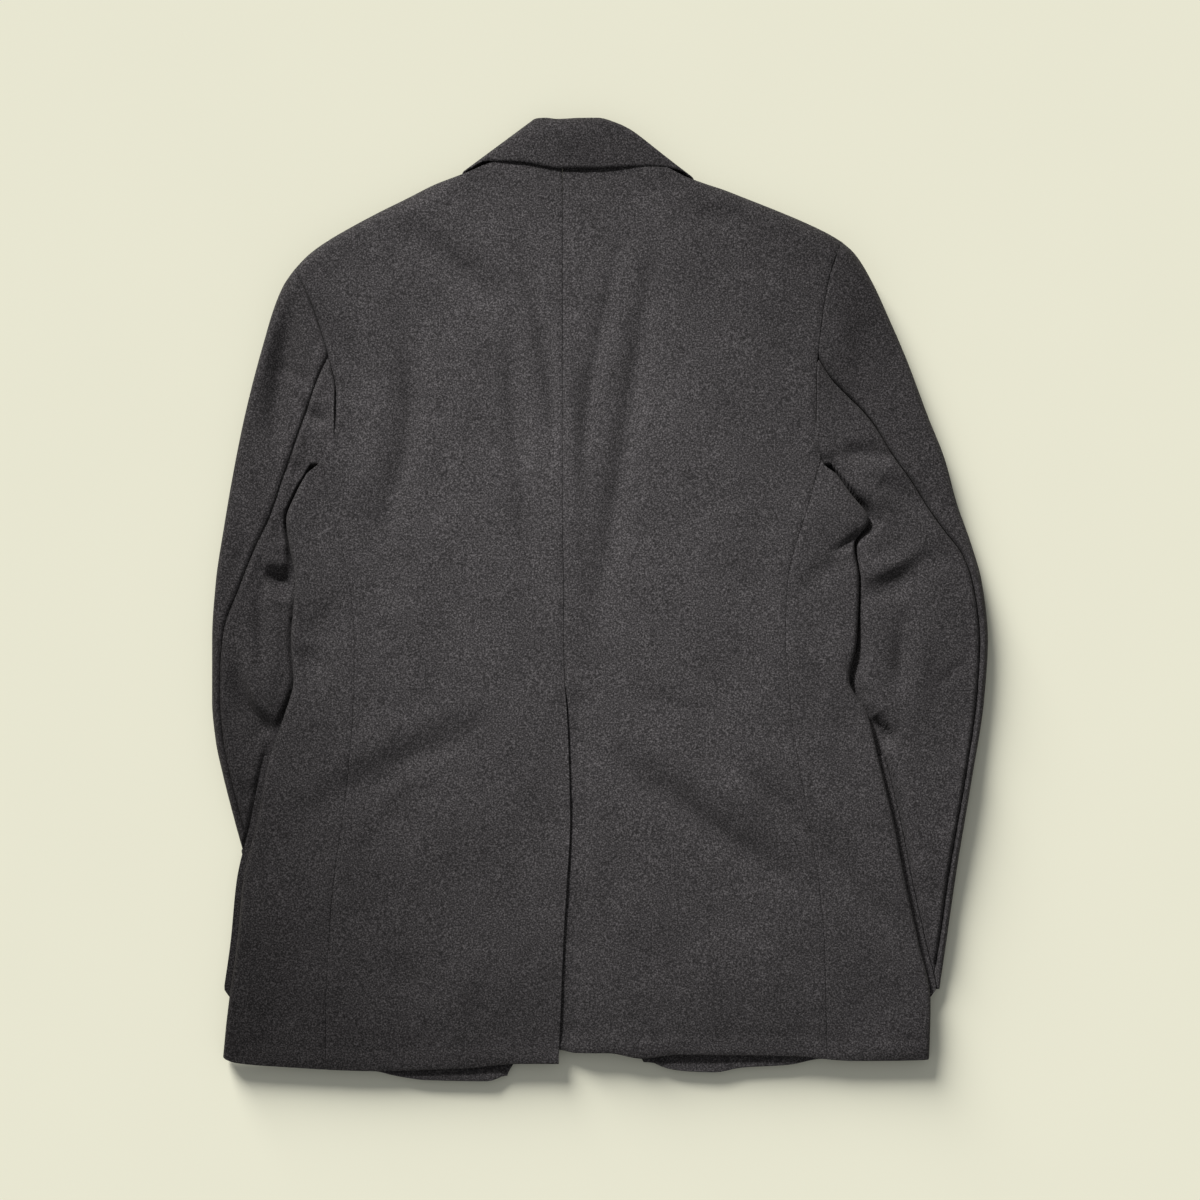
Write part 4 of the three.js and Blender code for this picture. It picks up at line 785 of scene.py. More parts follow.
def lapel_under(half, x, y):
    reach = half.lapel_width(y) + LAPEL_MARGIN
    bottom = BREAK_Y - BREAK_MARGIN
    across = 1 - smooth(reach, reach + SLOPE, -half.inside(half.front_edge, x, y))
    return across * smooth(bottom - SLOPE, bottom, y)


def button_under(x, y):
    reach = BUTTON_DIAMETER / 2 + BUTTON_MARGIN
    places = zip(BUTTONS["x"], BUTTONS["y"])
    lifts = [1 - smooth(reach, reach + SLOPE, np.hypot(x - bx, y - by)) for bx, by in places]
    return np.maximum(*lifts)


def overlap_under(x, y):
    return 1 - smooth(OVERLAP_MARGIN, OVERLAP_MARGIN + SLOPE, x - LEFT.front_edge(y))


def front_under(half, x, y):
    """Height of the underside of a front or side body, over the sleeve, pocket, lapel and buttons."""
    pocket = pocket_under(half, x, y)
    base = OVER_SLEEVE * np.maximum(sleeve_under(half, x, y), pocket) + LAYER * pocket
    if half is LEFT:
        button_lift = (BUTTON_THICKNESS + SEAM_GAP) * button_under(x, y)
        return base + np.maximum(LAYER * lapel_under(half, x, y), button_lift)
    alone = base + (FRONT_OVERLAP_HEIGHT - RIGHT_LAPEL_HEIGHT) * lapel_under(half, x, y)
    return lerp(alone, FRONT_OVERLAP_HEIGHT, overlap_under(x, y))


height_columns = [follow(BACK_HEIGHTS, "y", name) for name in ("centre", "blade", "side")]


def plain_height(x, y):
    off = np.abs(x - centre_seam(y))
    centre, blade, side = [column(y) for column in height_columns]
    towards_side = smooth(BLADE_AT, SIDE_AT, off)
    return centre + (blade - centre) * smooth(0, BLADE_AT, off) + (side - blade) * towards_side


def soften(x):
    return np.maximum(x, 0) + SOFTNESS * np.log1p(np.exp(-np.abs(x) / SOFTNESS))


def back_height(x, y):
    """Height of the back's outer face, with its large folds, at any place above the body."""
    left = front_under(LEFT, x, y)
    right = front_under(RIGHT, x, y)
    towards_right = smooth(LEFT_FRONT_ALONE, RIGHT_FRONT_ALONE, x)
    under = lerp(left, np.maximum(right, left * (1 - towards_right)), towards_right)
    floor = under + BACK_CLEARANCE
    return floor + soften(plain_height(x, y) + body_folds(x, y) - floor)


def edge_middle(x, y):
    return back_height(x, y) / 2


def rolled(length, radius):
    """How far in from a rolled edge a point lies after a length of cloth, and how far it has come round."""
    quarter = radius * math.pi / 2
    flat = length >= quarter
    inward = np.where(flat, radius + length - quarter, radius * (1 - np.cos(length / radius)))
    return inward, np.where(flat, 1, np.sin(np.minimum(length, quarter) / radius))


def shell(name, outer, facing):
    """A closed wall of cloth from a grid of points of its outer face, with a softly rounded rim."""
    along = np.gradient(outer, axis=1)
    down = np.gradient(outer, axis=0)
    normal = np.cross(along, down) * facing
    normal /= np.linalg.norm(normal, axis=2, keepdims=True)
    inner = outer - normal * CLOTH
    rows, columns = outer.shape[:2]
    index = np.arange(rows * columns).reshape(rows, columns)
    loop = np.concatenate([index[0], index[1:, -1], index[-1, -2::-1], index[-2:0:-1, 0]])
    next_in = np.concatenate([index[1], index[1:, -2], index[-2, -2::-1], index[-2:0:-1, 1]])
    flat_outer, flat_inner = outer.reshape(-1, 3), inner.reshape(-1, 3)
    outwards = flat_outer[loop] - flat_outer[next_in]
    outwards /= np.linalg.norm(outwards, axis=1, keepdims=True)
    middle = (flat_outer[loop] + flat_inner[loop]) / 2 + outwards * RIM_ROUND
    points = np.concatenate([flat_outer, flat_inner, middle])
    under = rows * columns
    corners = [index[:-1, :-1], index[:-1, 1:], index[1:, 1:], index[1:, :-1]]
    top = np.stack([c.ravel() for c in corners], axis=1)
    rim = 2 * under + np.arange(len(loop))
    after = np.roll(np.arange(len(loop)), -1)
    upper = np.stack([loop, rim, rim[after], loop[after]], axis=1)
    lower = np.stack([rim, loop + under, (loop + under)[after], rim[after]], axis=1)
    faces = np.concatenate([top, top[:, ::-1] + under, upper, lower])
    if facing < 0:
        faces = faces[:, ::-1]
    return mesh_piece(name, points, faces)


def mesh_piece(name, points, faces):
    """A smooth mesh of quads at the origin, from points in millimetres."""
    mesh = bpy.data.meshes.new(name)
    mesh.vertices.add(len(points))
    mesh.vertices.foreach_set("co", (points * MM).astype(np.float32).ravel())
    mesh.loops.add(faces.size)
    mesh.loops.foreach_set("vertex_index", faces.astype(np.int32).ravel())
    mesh.polygons.add(len(faces))
    mesh.polygons.foreach_set("loop_start", np.arange(0, faces.size, 4, dtype=np.int32))
    mesh.polygons.foreach_set("loop_total", np.full(len(faces), 4, dtype=np.int32))
    mesh.update(calc_edges=True)
    mesh.validate()
    mesh.polygons.foreach_set("use_smooth", np.ones(len(mesh.polygons), dtype=bool))
    return add_object(name, mesh)


def add_object(name, data):
    piece = bpy.data.objects.new(name, data)
    bpy.context.scene.collection.objects.link(piece)
    return piece


def even(length, spacing, close=EDGE_CELL):
    """Places from 0 to 1 along a length at an even spacing, with one close place at each end."""
    count = max(2, round(length / spacing))
    inner = np.linspace(close / length, 1 - close / length, count)
    return np.concatenate([[0], inner, [1]])


def place(x, y, z):
    return np.stack(np.broadcast_arrays(x, y, z), axis=2)


def seam_sink(distance, depth=SEAM_SINK):
    """Cloth turns down into a seam that lies at this distance, and stands up a little beside it."""
    lip = SEAM_LIP * depth / SEAM_SINK * bell(distance - SEAM_LIP_AT, SEAM_LIP_WIDTH)
    return lip - depth * bell(distance, SEAM_WIDTH)


def cloth_detail(x, y, creases, strength):
    """Creases and small unevenness of the cloth over its large folds."""
    uneven = creases(x, y) + BROAD_RIPPLE * broad_ripples(x, y) + FINE_RIPPLE * fine_ripples(x, y)
    return strength * uneven


def top_line(half):
    x1, y1 = points_along_x(half.shoulder)
    x2, y2 = points_along_x(NECK)
    beyond = half.out * (x2 - half.shoulder_x) < 0
    return np.concatenate([x1, x2[beyond]]), np.concatenate([y1, y2[beyond]])


def back_piece(half, cloth):
    left = half is LEFT

    def centre_line(y):
        seam = centre_seam(y)
        return seam if left else seam - VENT_UNDERLAP * smooth(VENT_TOP, VENT_TOP - VENT_SLANT, y)

    u, v = np.meshgrid(even(BACK_WIDTH, cloth.grid), even(BACK_LENGTH, cloth.grid))
    top = end_by_share(top_line(half), half.back_side, centre_seam)(u)
    bottom = end_by_share(points_along_x(half.back_hem), half.back_side, centre_line)(u)
    length = top - bottom + SHOULDER_ROLL * ROLL_EXTRA
    inward, turn = rolled(v * length, SHOULDER_ROLL)
    y = top - inward
    gap = np.where(y > half.seam_top - ARMHOLE_GAP_BELOW, ARMHOLE_GAP, SIDE_GAP / 2)
    start = half.back_side(y) - half.out * gap
    end = centre_line(y) + half.out * SEAM_GAP / 2
    x = lerp(start, end, u)
    height = back_height(x, y)
    if not left:
        beside = smooth(VENT_DROP_WIDTH, VENT_DROP_FLAT, x - centre_seam(y))
        height = height - VENT_DROP * beside * smooth(VENT_TOP + VENT_SLANT, VENT_TOP + VENT_DROP_FLAT, y)
    fade = smooth(0, BACK_HEM_FADE, y - bottom) * smooth(0, TOP_FADE, top - y)
    height = height + fade * cloth_detail(x, y, body_creases, cloth.creases)
    from_side = np.abs(x - start)
    from_centre = np.abs(end - x)
    seam_down = smooth(VENT_TOP - VENT_SEAM_FADE, VENT_TOP + VENT_DROP_FLAT, y)
    at_armhole = smooth(half.seam_top, half.seam_top + ARMHOLE_BLEND, y)
    side_sink = lerp(SEAM_SINK, ARMHOLE_SINK[half.side], at_armhole)
    height = height + seam_sink(from_side, side_sink) + seam_sink(from_centre) * seam_down
    beside_seams = bell(from_side, PUCKER_WIDTH) + bell(from_centre, CENTRE_PUCKER_WIDTH) * seam_down
    height = height + PUCKER * seam_ripples(x, y) * fade * beside_seams
    height = height + hem_form(y - bottom, x, y)
    if left:
        height = height + (1 - seam_down) * VENT_EDGE * bell(from_centre, PUCKER_WIDTH)
    share = smooth(0, NECK_BLEND, half.out * (x - half.shoulder_x) + NECK_BLEND_START)
    z = lerp(edge_middle(x, y) + SEAM_GAP / 2, height, lerp(1, turn, share))
    return shell(f"back_panel_{half.side}", place(x, y, z), half.out)


def hem_form(up, x, y):
    """A turned-up hem: fuller at its fold, with a faint groove where its top edge is caught."""
    groove = HEM_GROOVE * bell(up - HEM_DEPTH, HEM_GROOVE_WIDTH) * (1 + HEM_UNEVEN * seam_ripples(x, y))
    full = smooth(0, HEM_FULL_START, up) * (1 - smooth(HEM_DEPTH - HEM_FULL_END, HEM_DEPTH, up))
    return HEM_FULL * (full - 1 + smooth(0, HEM_FOLD, up)) - groove


def side_piece(half, cloth):
    hem = follow(half.back_hem, "x", "y")
    low = float(BODY["y"][-1])
    roll_share = SIDE_ROLL * math.pi / 2 / SIDE_WIDTH
    upper = even(SIDE_WIDTH, cloth.grid)[:-1] * (1 - roll_share)
    us = np.concatenate([
        upper,
        np.linspace(1 - roll_share, 1 + roll_share, ROLL_COLUMNS),
        2 - upper[::-1],
    ])
    u, v = np.meshgrid(us, even(SIDE_LENGTH, cloth.grid))
    over = u < 1
    beyond = np.where(over, u, u - 1)
    top_y = np.where(
        over,
        lerp(half.seam_top, UNDERARM_FOLD_Y, beyond),
        lerp(UNDERARM_FOLD_Y, half.front_end_y, beyond),
    )
    hem_x = np.where(
        over,
        lerp(half.seam(low), half.edge(low), beyond),
        lerp(half.edge(low), half.front_seam(low), beyond),
    )
    bottom = hem(hem_x)
    y = lerp(top_y, bottom, v)
    edge = half.edge(y)
    reach = np.abs(edge - np.where(over, half.seam(y), half.front_seam(y))) - SIDE_GAP / 2
    length = reach + SIDE_ROLL * ROLL_EXTRA
    inward, turn = rolled(np.abs(1 - u) * length, SIDE_ROLL)
    x = edge - half.out * inward
    from_seam = reach - inward
    pucker = PUCKER * seam_ripples(x, y) * bell(from_seam, PUCKER_WIDTH)
    detail = cloth_detail(x, y, body_creases, cloth.creases) + pucker
    detail = detail * smooth(0, SIDE_HEM_FADE, y - bottom) + seam_sink(from_seam)
    top = back_height(x, y) + detail + hem_form(y - bottom, x, y)
    middle = (back_height(edge, y) + front_under(half, edge, y)) / 2
    z = lerp(middle, np.where(over, top, front_under(half, x, y)), turn)
    return shell(f"side_panel_{half.side}", place(x, y, z), -half.out)


def front_piece(half, cloth):
    u, v = np.meshgrid(even(FRONT_WIDTH, cloth.hidden_grid), even(BACK_LENGTH, cloth.hidden_grid))
    top = end_by_share(points_along_x(half.shoulder), half.front_seam, half.front_edge)(u)
    bottom = end_by_share(points_along_x(half.front_hem), half.front_seam, half.front_edge)(u)
    length = top - bottom + SHOULDER_ROLL * ROLL_EXTRA
    inward, turn = rolled(v * length, SHOULDER_ROLL)
    y = top - inward
    start = half.front_seam(y) - half.out * np.where(y > half.front_end_y, ARMHOLE_GAP, SIDE_GAP / 2)
    x = lerp(start, half.front_edge(y), u)
    under = front_under(half, x, y) + hem_curl(x) * smooth(FRONT_HEM_CURL_LENGTH, 0, y - bottom)
    z = lerp(edge_middle(x, y) - SEAM_GAP / 2, under, turn)
    return shell(f"front_panel_{half.side}", place(x, y, z), -half.out)


def lapel_piece(half, cloth):
    u, v = np.meshgrid(even(LAPEL_WIDTH, cloth.hidden_grid), even(LAPEL_LENGTH, cloth.hidden_grid))
    y = lerp(lerp(LAPEL_TIP, LAPEL_TOP, u), LAPEL_BOTTOM, v)
    x = half.front_edge(y) + half.out * (1 - u) * half.lapel_width(y)
    lift = 0 if half is LEFT else RIGHT_LAPEL_HEIGHT * overlap_under(x, y)
    return shell(f"lapel_turned_{half.side}", place(x, y, lift), -half.out)


def pocket_piece(half, cloth):
    length = POCKET_TOP - POCKET_BOTTOM
    u, v = np.meshgrid(even(POCKET_WIDTH, cloth.hidden_grid), even(length, cloth.hidden_grid))
    corner = POCKET_CORNER * (1 - np.sqrt(1 - np.abs(2 * u - 1) ** POCKET_CORNER_ACROSS))
    corner = corner * v ** POCKET_CORNER_DOWN
    y = lerp(POCKET_TOP, POCKET_BOTTOM + corner, v)
    x = half.edge(y) + half.out * (POCKET_PROUD - POCKET_WIDTH * u)
    sewn = POCKET_STITCH_DEPTH * bell(pocket_inset(u, v) - POCKET_STITCH_INSET, POCKET_STITCH_WIDTH)
    return shell(f"hip_pocket_{half.side}", place(x, y, OVER_SLEEVE + sewn), -half.out)


def pocket_inset(u, v):
    """Distance of a place on a pocket from its nearest sewn edge."""
    side = np.minimum(u, 1 - u) * POCKET_WIDTH
    return np.minimum(side, (1 - v) * (POCKET_TOP - POCKET_BOTTOM))


def sleeve_form(half):
    line_top, line_low = half.point[1], half.front_end_y
    upper_top = end_by_share(points_along_y(half.sleeve_head, line_top, line_low), half.outer, half.inner)
    lower_top = end_by_share(points_along_y(half.front_armhole, line_top, line_low), half.outer, half.inner)
    shoulder_middle = edge_middle(*half.point)

    def covered(x, y):
        proud = POCKET_PROUD * smooth(POCKET_TOP + POCKET_MARGIN, POCKET_TOP, y)
        within = half.out * (half.edge(y) - x) + proud
        below = half.seam_top - DIVE_BELOW_SEAM_TOP - y
        inside = np.minimum(within, below)
        start = half.dive_start(y)
        return smooth(-start, 0, inside), smooth(-EDGE_EASE_WIDTH[half.side], -start, inside)

    def form(share, down, upper, detail):
        top_y = np.where(upper, upper_top(share), lower_top(share))
        y = lerp(top_y, half.cuff, down)
        width = np.abs(half.inner(y) - half.outer(y))
        x = lerp(half.outer(y), half.inner(y), share)
        head = smooth(0, HEAD_SHARE, down)
        head_radius = lerp(SHOULDER_ROLL, SLEEVE_ROLL, head)
        outer_turn = np.minimum(share * width / head_radius, 1)
        inner_turn = np.minimum((1 - share) * width / SLEEVE_INNER_ROLL, 1)
        turn = np.sqrt(1 - (1 - outer_turn) ** 2) * np.sqrt(1 - (1 - inner_turn) ** 2)
        own = half.sleeve_top(down)
        free = lerp(back_height(x, y), own, head) + sleeve_folds(x, y)
        hidden, near_edge = covered(x, y)
        free = free - half.edge_low(y) * near_edge
        top = lerp(np.maximum(free, SLEEVE_HEIGHT), SLEEVE_HEIGHT, hidden)
        top = top + detail(x, y, down) * (1 - hidden)
        outer_middle = lerp(shoulder_middle, own / 2, head)
        middle = lerp(outer_middle, SLEEVE_HEIGHT / 2, smooth(SLEEVE_CREST_SHARE, 1, share))
        return place(x, y, middle + (np.where(upper, top, 0) - middle) * turn)

    return form


def across_sleeve(t, down):
    """Shares across a sleeve that crowd into its rolled folds."""
    radius = lerp(SHOULDER_ROLL, SLEEVE_ROLL, smooth(0, HEAD_SHARE, down))
    quarter_outer = radius * math.pi / 2
    quarter_inner = SLEEVE_INNER_ROLL * math.pi / 2
    total = SLEEVE_WIDTH - radius - SLEEVE_INNER_ROLL + quarter_outer + quarter_inner
    length = np.clip(t, 0, 1) * total
    left_over = total - length
    first = radius * (1 - np.cos(np.minimum(length / radius, math.pi / 2)))
    last = SLEEVE_WIDTH - SLEEVE_INNER_ROLL * (
        1 - np.cos(np.minimum(left_over / SLEEVE_INNER_ROLL, math.pi / 2))
    )
    flat = radius + length - quarter_outer
    place_at = np.where(length < quarter_outer, first, np.where(left_over < quarter_inner, last, flat))
    return place_at / SLEEVE_WIDTH


def sleeve_pieces(half, cloth):
    form = sleeve_form(half)
    downs = even(SLEEVE_LENGTH, cloth.grid * SLEEVE_GRID_SHARE)
    seam_share = half.back_seam(downs) / SLEEVE_WIDTH
    low, high = np.zeros(len(downs)), np.ones(len(downs))
    for _ in range(HALVINGS):
        middle = (low + high) / 2
        before = across_sleeve(middle, downs) < seam_share
        low, high = np.where(before, middle, low), np.where(before, high, middle)
    seam_t = ((low + high) / 2)[:, None]
    gap_t = SEAM_GAP / 2 / SLEEVE_WIDTH

    def detail(x, y, down):
        seam_x = lerp(half.outer(y), half.inner(y), half.back_seam(down) / SLEEVE_WIDTH)
        beside = np.abs(x - seam_x)
        from_head = np.abs(down) * SLEEVE_LENGTH
        fade = smooth(0, CUFF_FADE, SLEEVE_LENGTH - from_head)
        uneven = cloth_detail(x, y, sleeve_creases, cloth.creases) * smooth(0, HEAD_FADE, from_head)
        beside_seams = bell(beside, ELBOW_PUCKER_WIDTH) + bell(from_head, HEAD_PUCKER_WIDTH)
        pucker = PUCKER * seam_ripples(x, y) * beside_seams
        sink = seam_sink(beside, ELBOW_SEAM_SINK[half.side]) + seam_sink(from_head, ARMHOLE_SINK[half.side])
        return fade * (uneven + pucker) + sink

    outer_part = np.linspace(0, 1, SLEEVE_SEAM_COLUMNS)
    floor_part = 1 + even(SLEEVE_WIDTH, cloth.grid, SLEEVE_EDGE_CELL)[1:]
    tuck_part = 2 + np.linspace(0, 1, SLEEVE_TUCK_COLUMNS)[1:]
    u, down = np.meshgrid(np.concatenate([outer_part, floor_part, tuck_part]), downs)
    t = np.where(u < 2, u - 1, lerp(1, FRONT_SEAM_SHARE, u - 2))
    t = np.where(u < 1, lerp(seam_t - gap_t, 0, u), t)
    upper = (u < 1) | (u >= 2)
    around = form(across_sleeve(t, down), down, upper, detail)
    top = shell(f"sleeve_top_panel_{half.side}", around, -half.out)
    u, down = np.meshgrid(even(UNDER_SLEEVE_WIDTH, cloth.grid * SLEEVE_GRID_SHARE), downs)
    t = lerp(seam_t + gap_t, FRONT_SEAM_SHARE - 2 * gap_t, u)
    over = form(across_sleeve(t, down), down, np.full(u.shape, True), detail)
    under = shell(f"sleeve_under_panel_{half.side}", over, half.out)
    return top, under


def along_rows(rows, names):
    count = len(rows[names[0]])
    numbered = dict(rows, index=np.arange(count))
    return [follow(numbered, "index", name) for name in names], count - 1


def collar_piece(cloth):
    names = ("edge_x", "edge_y", "edge_z", "roll_x", "roll_y", "roll_z", "rise")
    curves, last = along_rows(COLLAR, names)
    down = 1 - (1 - np.linspace(0, 1, COLLAR_ROWS)) ** COLLAR_ROW_POWER
    u, v = np.meshgrid(even(COLLAR_LENGTH, cloth.grid), down)
    edge_x, edge_y, edge_z, roll_x, roll_y, roll_z, rise = [curve(u * last) for curve in curves]
    x, y = lerp(edge_x, roll_x, v), lerp(edge_y, roll_y, v)
    turn = np.sqrt(np.maximum(1 - v ** COLLAR_ROLL_POWER, 0))
    arched = edge_z + rise * np.sin(math.pi / 2 * v)
    flat = lerp(edge_z, roll_z, v)
    on_top = smooth(0, COLLAR_RISE_FULL, rise)
    z = lerp(flat, lerp(roll_z, arched, turn), on_top)
    from_edge = v * np.hypot(edge_x - roll_x, edge_y - roll_y)
    broad = broad_ripples(x * COLLAR_RIPPLES_CLOSER, y * COLLAR_RIPPLES_CLOSER)
    uneven = FINE_RIPPLE * fine_ripples(x, y) + COLLAR_RIPPLE * broad
    edge = COLLAR_EDGE_SINK * bell(from_edge, COLLAR_EDGE_WIDTH)
    sewn = COLLAR_SEWN * bell(from_edge - COLLAR_SEWN_INSET, COLLAR_SEWN_WIDTH)
    z = z + on_top * (cloth.creases * uneven * turn - edge - sewn)
    return shell("collar_fall", place(x, y, z), 1)


def stand_piece(cloth):
    curves, last = along_rows(STAND, ("roll_x", "roll_y", "neck_x"))
    u, v = np.meshgrid(even(STAND_LENGTH, cloth.hidden_grid), even(STAND_WIDTH, cloth.hidden_grid))
    roll_x, roll_y, neck_x = [curve(u * last) for curve in curves]
    neck_y = follow(NECK, "x", "y")(neck_x) + 2 * SEAM_GAP
    neck_z = back_height(neck_x, neck_y) - CLOTH
    points = place(lerp(roll_x, neck_x, v), lerp(roll_y, neck_y, v), lerp(STAND_ROLL_Z, neck_z, v))
    return shell("collar_stand_band", points, 1)


def button_piece(name, x, y, sizes):
    """A four-hole button with a rolled rim and a dished middle, face down under the front it closes."""
    radius = sizes.button_diameter * (0.5 / MM)
    mesh = bpy.data.meshes.new(name)
    build = bmesh.new()
    rim = [build.verts.new((share * radius, 0, up)) for share, up in BUTTON_SECTION]
    edges = [build.edges.new(pair) for pair in zip(rim, rim[1:])]
    bmesh.ops.spin(
        build, geom=rim + edges, cent=(0, 0, 0), axis=(0, 0, 1), angle=2 * math.pi,
        steps=BUTTON_STEPS, use_merge=True, use_duplicate=False,
    )
    bmesh.ops.remove_doubles(build, verts=build.verts[:], dist=BUTTON_MERGE)
    bmesh.ops.recalc_face_normals(build, faces=build.faces[:])
    build.to_mesh(mesh)
    build.free()
    piece = add_object(name, mesh)
    cut_button_holes(piece)
    mesh = piece.data
    mesh.transform(Matrix.Translation((x, y, 0)))
    mesh.transform(Matrix.Scale(MM, 4))
    mesh.polygons.foreach_set("use_smooth", np.ones(len(mesh.polygons), dtype=bool))
    mesh.set_sharp_from_angle(angle=math.radians(BUTTON_SHARP_ANGLE))
    return piece


def cut_button_holes(piece):
    drill = bmesh.new()
    for across in (-1, 1):
        for up in (-1, 1):
            made = bmesh.ops.create_cone(
                drill, cap_ends=True, segments=HOLE_SEGMENTS,
                radius1=HOLE_RADIUS, radius2=HOLE_RADIUS, depth=DRILL_LENGTH,
            )
            step = (across * HOLE_SPACING, up * HOLE_SPACING, BUTTON_THICKNESS / 2)
            bmesh.ops.translate(drill, verts=made["verts"], vec=step)
    mesh = bpy.data.meshes.new("drill")
    drill.to_mesh(mesh)
    drill.free()
    cutter = add_object("drill", mesh)
    cut = piece.modifiers.new("holes", "BOOLEAN")
    cut.object = cutter
    cut.solver = "EXACT"
    piece.data = applied(piece)
    piece.modifiers.clear()
    bpy.data.objects.remove(cutter)


def applied(piece):
    """The piece's mesh with its modifiers applied."""
    bpy.context.view_layer.update()
    evaluated = piece.evaluated_get(bpy.context.evaluated_depsgraph_get())
    return bpy.data.meshes.new_from_object(evaluated)


def stitch_tree(material):
    """Geometry Nodes: short rounded stitches laid along the curves that come in, at even steps."""
    tree = bpy.data.node_groups.new("stitches along a seam", "GeometryNodeTree")
    sockets = {}
    tree.interface.new_socket("Seam lines", in_out="INPUT", socket_type="NodeSocketGeometry")
    defaults = {"Stitch step": STITCH_STEP, "Stitch length": STITCH_LENGTH, "Thread width": THREAD_WIDTH}
    for label, default in defaults.items():
        socket = tree.interface.new_socket(label, in_out="INPUT", socket_type="NodeSocketFloat")
        socket.default_value = default * MM
        sockets[label] = socket.identifier
    tree.interface.new_socket("Stitches", in_out="OUTPUT", socket_type="NodeSocketGeometry")
    start = add_node(tree, "NodeGroupInput")
    points = add_node(tree, "GeometryNodeCurveToPoints", {"mode": "LENGTH"}, {
        "Curve": start.outputs["Seam lines"], "Length": start.outputs["Stitch step"],
    })
    half_width = add_node(tree, "ShaderNodeMath", {"operation": "MULTIPLY"}, {
        0: start.outputs["Thread width"], 1: 0.5,
    })
    ball = add_node(tree, "GeometryNodeMeshUVSphere", {}, {"Segments": 8, "Rings": 6, "Radius": 0.5})
    size = add_node(tree, "ShaderNodeCombineXYZ", {}, {
        "X": start.outputs["Thread width"], "Y": half_width.outputs[0], "Z": start.outputs["Stitch length"],
    })
    placed = add_node(tree, "GeometryNodeInstanceOnPoints", {}, {
        "Points": points.outputs["Points"], "Instance": ball.outputs["Mesh"],
        "Rotation": points.outputs["Rotation"], "Scale": size.outputs["Vector"],
    })
    real = add_node(tree, "GeometryNodeRealizeInstances", {}, {"Geometry": placed.outputs["Instances"]})
    round_off = add_node(tree, "GeometryNodeSetShadeSmooth", {}, {"Geometry": real.outputs["Geometry"]})
    dressed = add_node(tree, "GeometryNodeSetMaterial", {}, {
        "Geometry": round_off.outputs["Geometry"], "Material": material,
    })
    add_node(tree, "NodeGroupOutput", {}, {"Stitches": dressed.outputs["Geometry"]})
    return tree, sockets


def add_node(tree, kind, settings=None, links=None):
    """Adds a node with its settings, and links or sets its inputs by name or number."""
    node = tree.nodes.new(kind)
    for name, value in (settings or {}).items():
        setattr(node, name, value)
    set_inputs(tree, node, links or {})
    return node


def set_inputs(tree, node, values):
    for name, value in values.items():
        if isinstance(value, bpy.types.NodeSocket):
            tree.links.new(value, node.inputs[name])
        else:
            node.inputs[name].default_value = value


def linear(hex_colour):
    """An sRGB hex colour as linear red, green, blue and alpha."""
    parts = [int(hex_colour[i:i + 2], 16) / 255 for i in (1, 3, 5)]
    return [c / 12.92 if c <= 0.04045 else ((c + 0.055) / 1.055) ** 2.4 for c in parts] + [1]


def material_for(name, finish, look):
    """The material of this name, made by its finish when it is first asked for."""
    if name not in bpy.data.materials:
        material = bpy.data.materials.new(name)
        material.use_nodes = True
        tree = material.node_tree
        spot = add_node(tree, "ShaderNodeTexCoord").outputs["Object"]
        set_inputs(tree, tree.nodes["Principled BSDF"], finish(tree, spot, look))
    return bpy.data.materials[name]


def flannel_finish(tree, spot, look):
    """Milled wool flannel, woven from mixed light and dark fibres, then brushed."""
    # Mixed fibres in the yarn: real ones are 0.02 mm, drawn as flecks of about 1 mm so that they show
    flecks = add_node(tree, "ShaderNodeTexNoise", {}, {
        "Vector": spot, "Scale": 1 / (FLECK_SIZE * MM), "Detail": 3.0, "Roughness": 0.7,
    })
    # The nap felts into slightly darker and lighter clouds a few centimetres wide
    clouds = add_node(tree, "ShaderNodeTexNoise", {}, {
        "Vector": spot, "Scale": 1 / (CLOUD_SIZE * MM), "Detail": 2.0, "Roughness": 0.5,
    })
    fibres = add_node(tree, "ShaderNodeValToRGB", {}, {"Fac": flecks.outputs["Fac"]})
    stops = fibres.color_ramp.elements
    stops[0].position, stops[0].color = 0.32, linear(look.dark_fibre)
    stops[1].position, stops[1].color = 0.70, linear(look.light_fibre)
    stops.new(0.5).color = linear(look.main_fibre)
    cloud_shade = add_node(tree, "ShaderNodeMapRange", {}, {
        "Value": clouds.outputs["Fac"], "From Min": 0.3, "From Max": 0.7, "To Min": 0.93, "To Max": 1.07,
    })
    tone = add_node(tree, "ShaderNodeVectorMath", {"operation": "SCALE"}, {
        0: fibres.outputs["Color"], "Scale": cloud_shade.outputs["Result"],
    })
    # Brushed fibres catch the light as a fine, soft tooth
    nap = add_node(tree, "ShaderNodeTexNoise", {}, {
        "Vector": spot, "Scale": 1 / (NAP_SIZE * MM), "Detail": 2.0, "Roughness": 0.6,
    })
    tooth = add_node(tree, "ShaderNodeBump", {}, {
        "Strength": look.nap, "Distance": NAP_DEPTH * MM, "Height": nap.outputs["Fac"],
    })
    # Wool scatters light at its loose fibre ends: no gloss, and a soft pale sheen at a low angle
    return {
        "Base Color": tone.outputs["Vector"], "Normal": tooth.outputs["Normal"],
        "Roughness": 0.95, "Specular IOR Level": 0.15,
        "Sheen Weight": 0.08, "Sheen Roughness": 0.6, "Sheen Tint": linear("#B8B4B0"),
    }


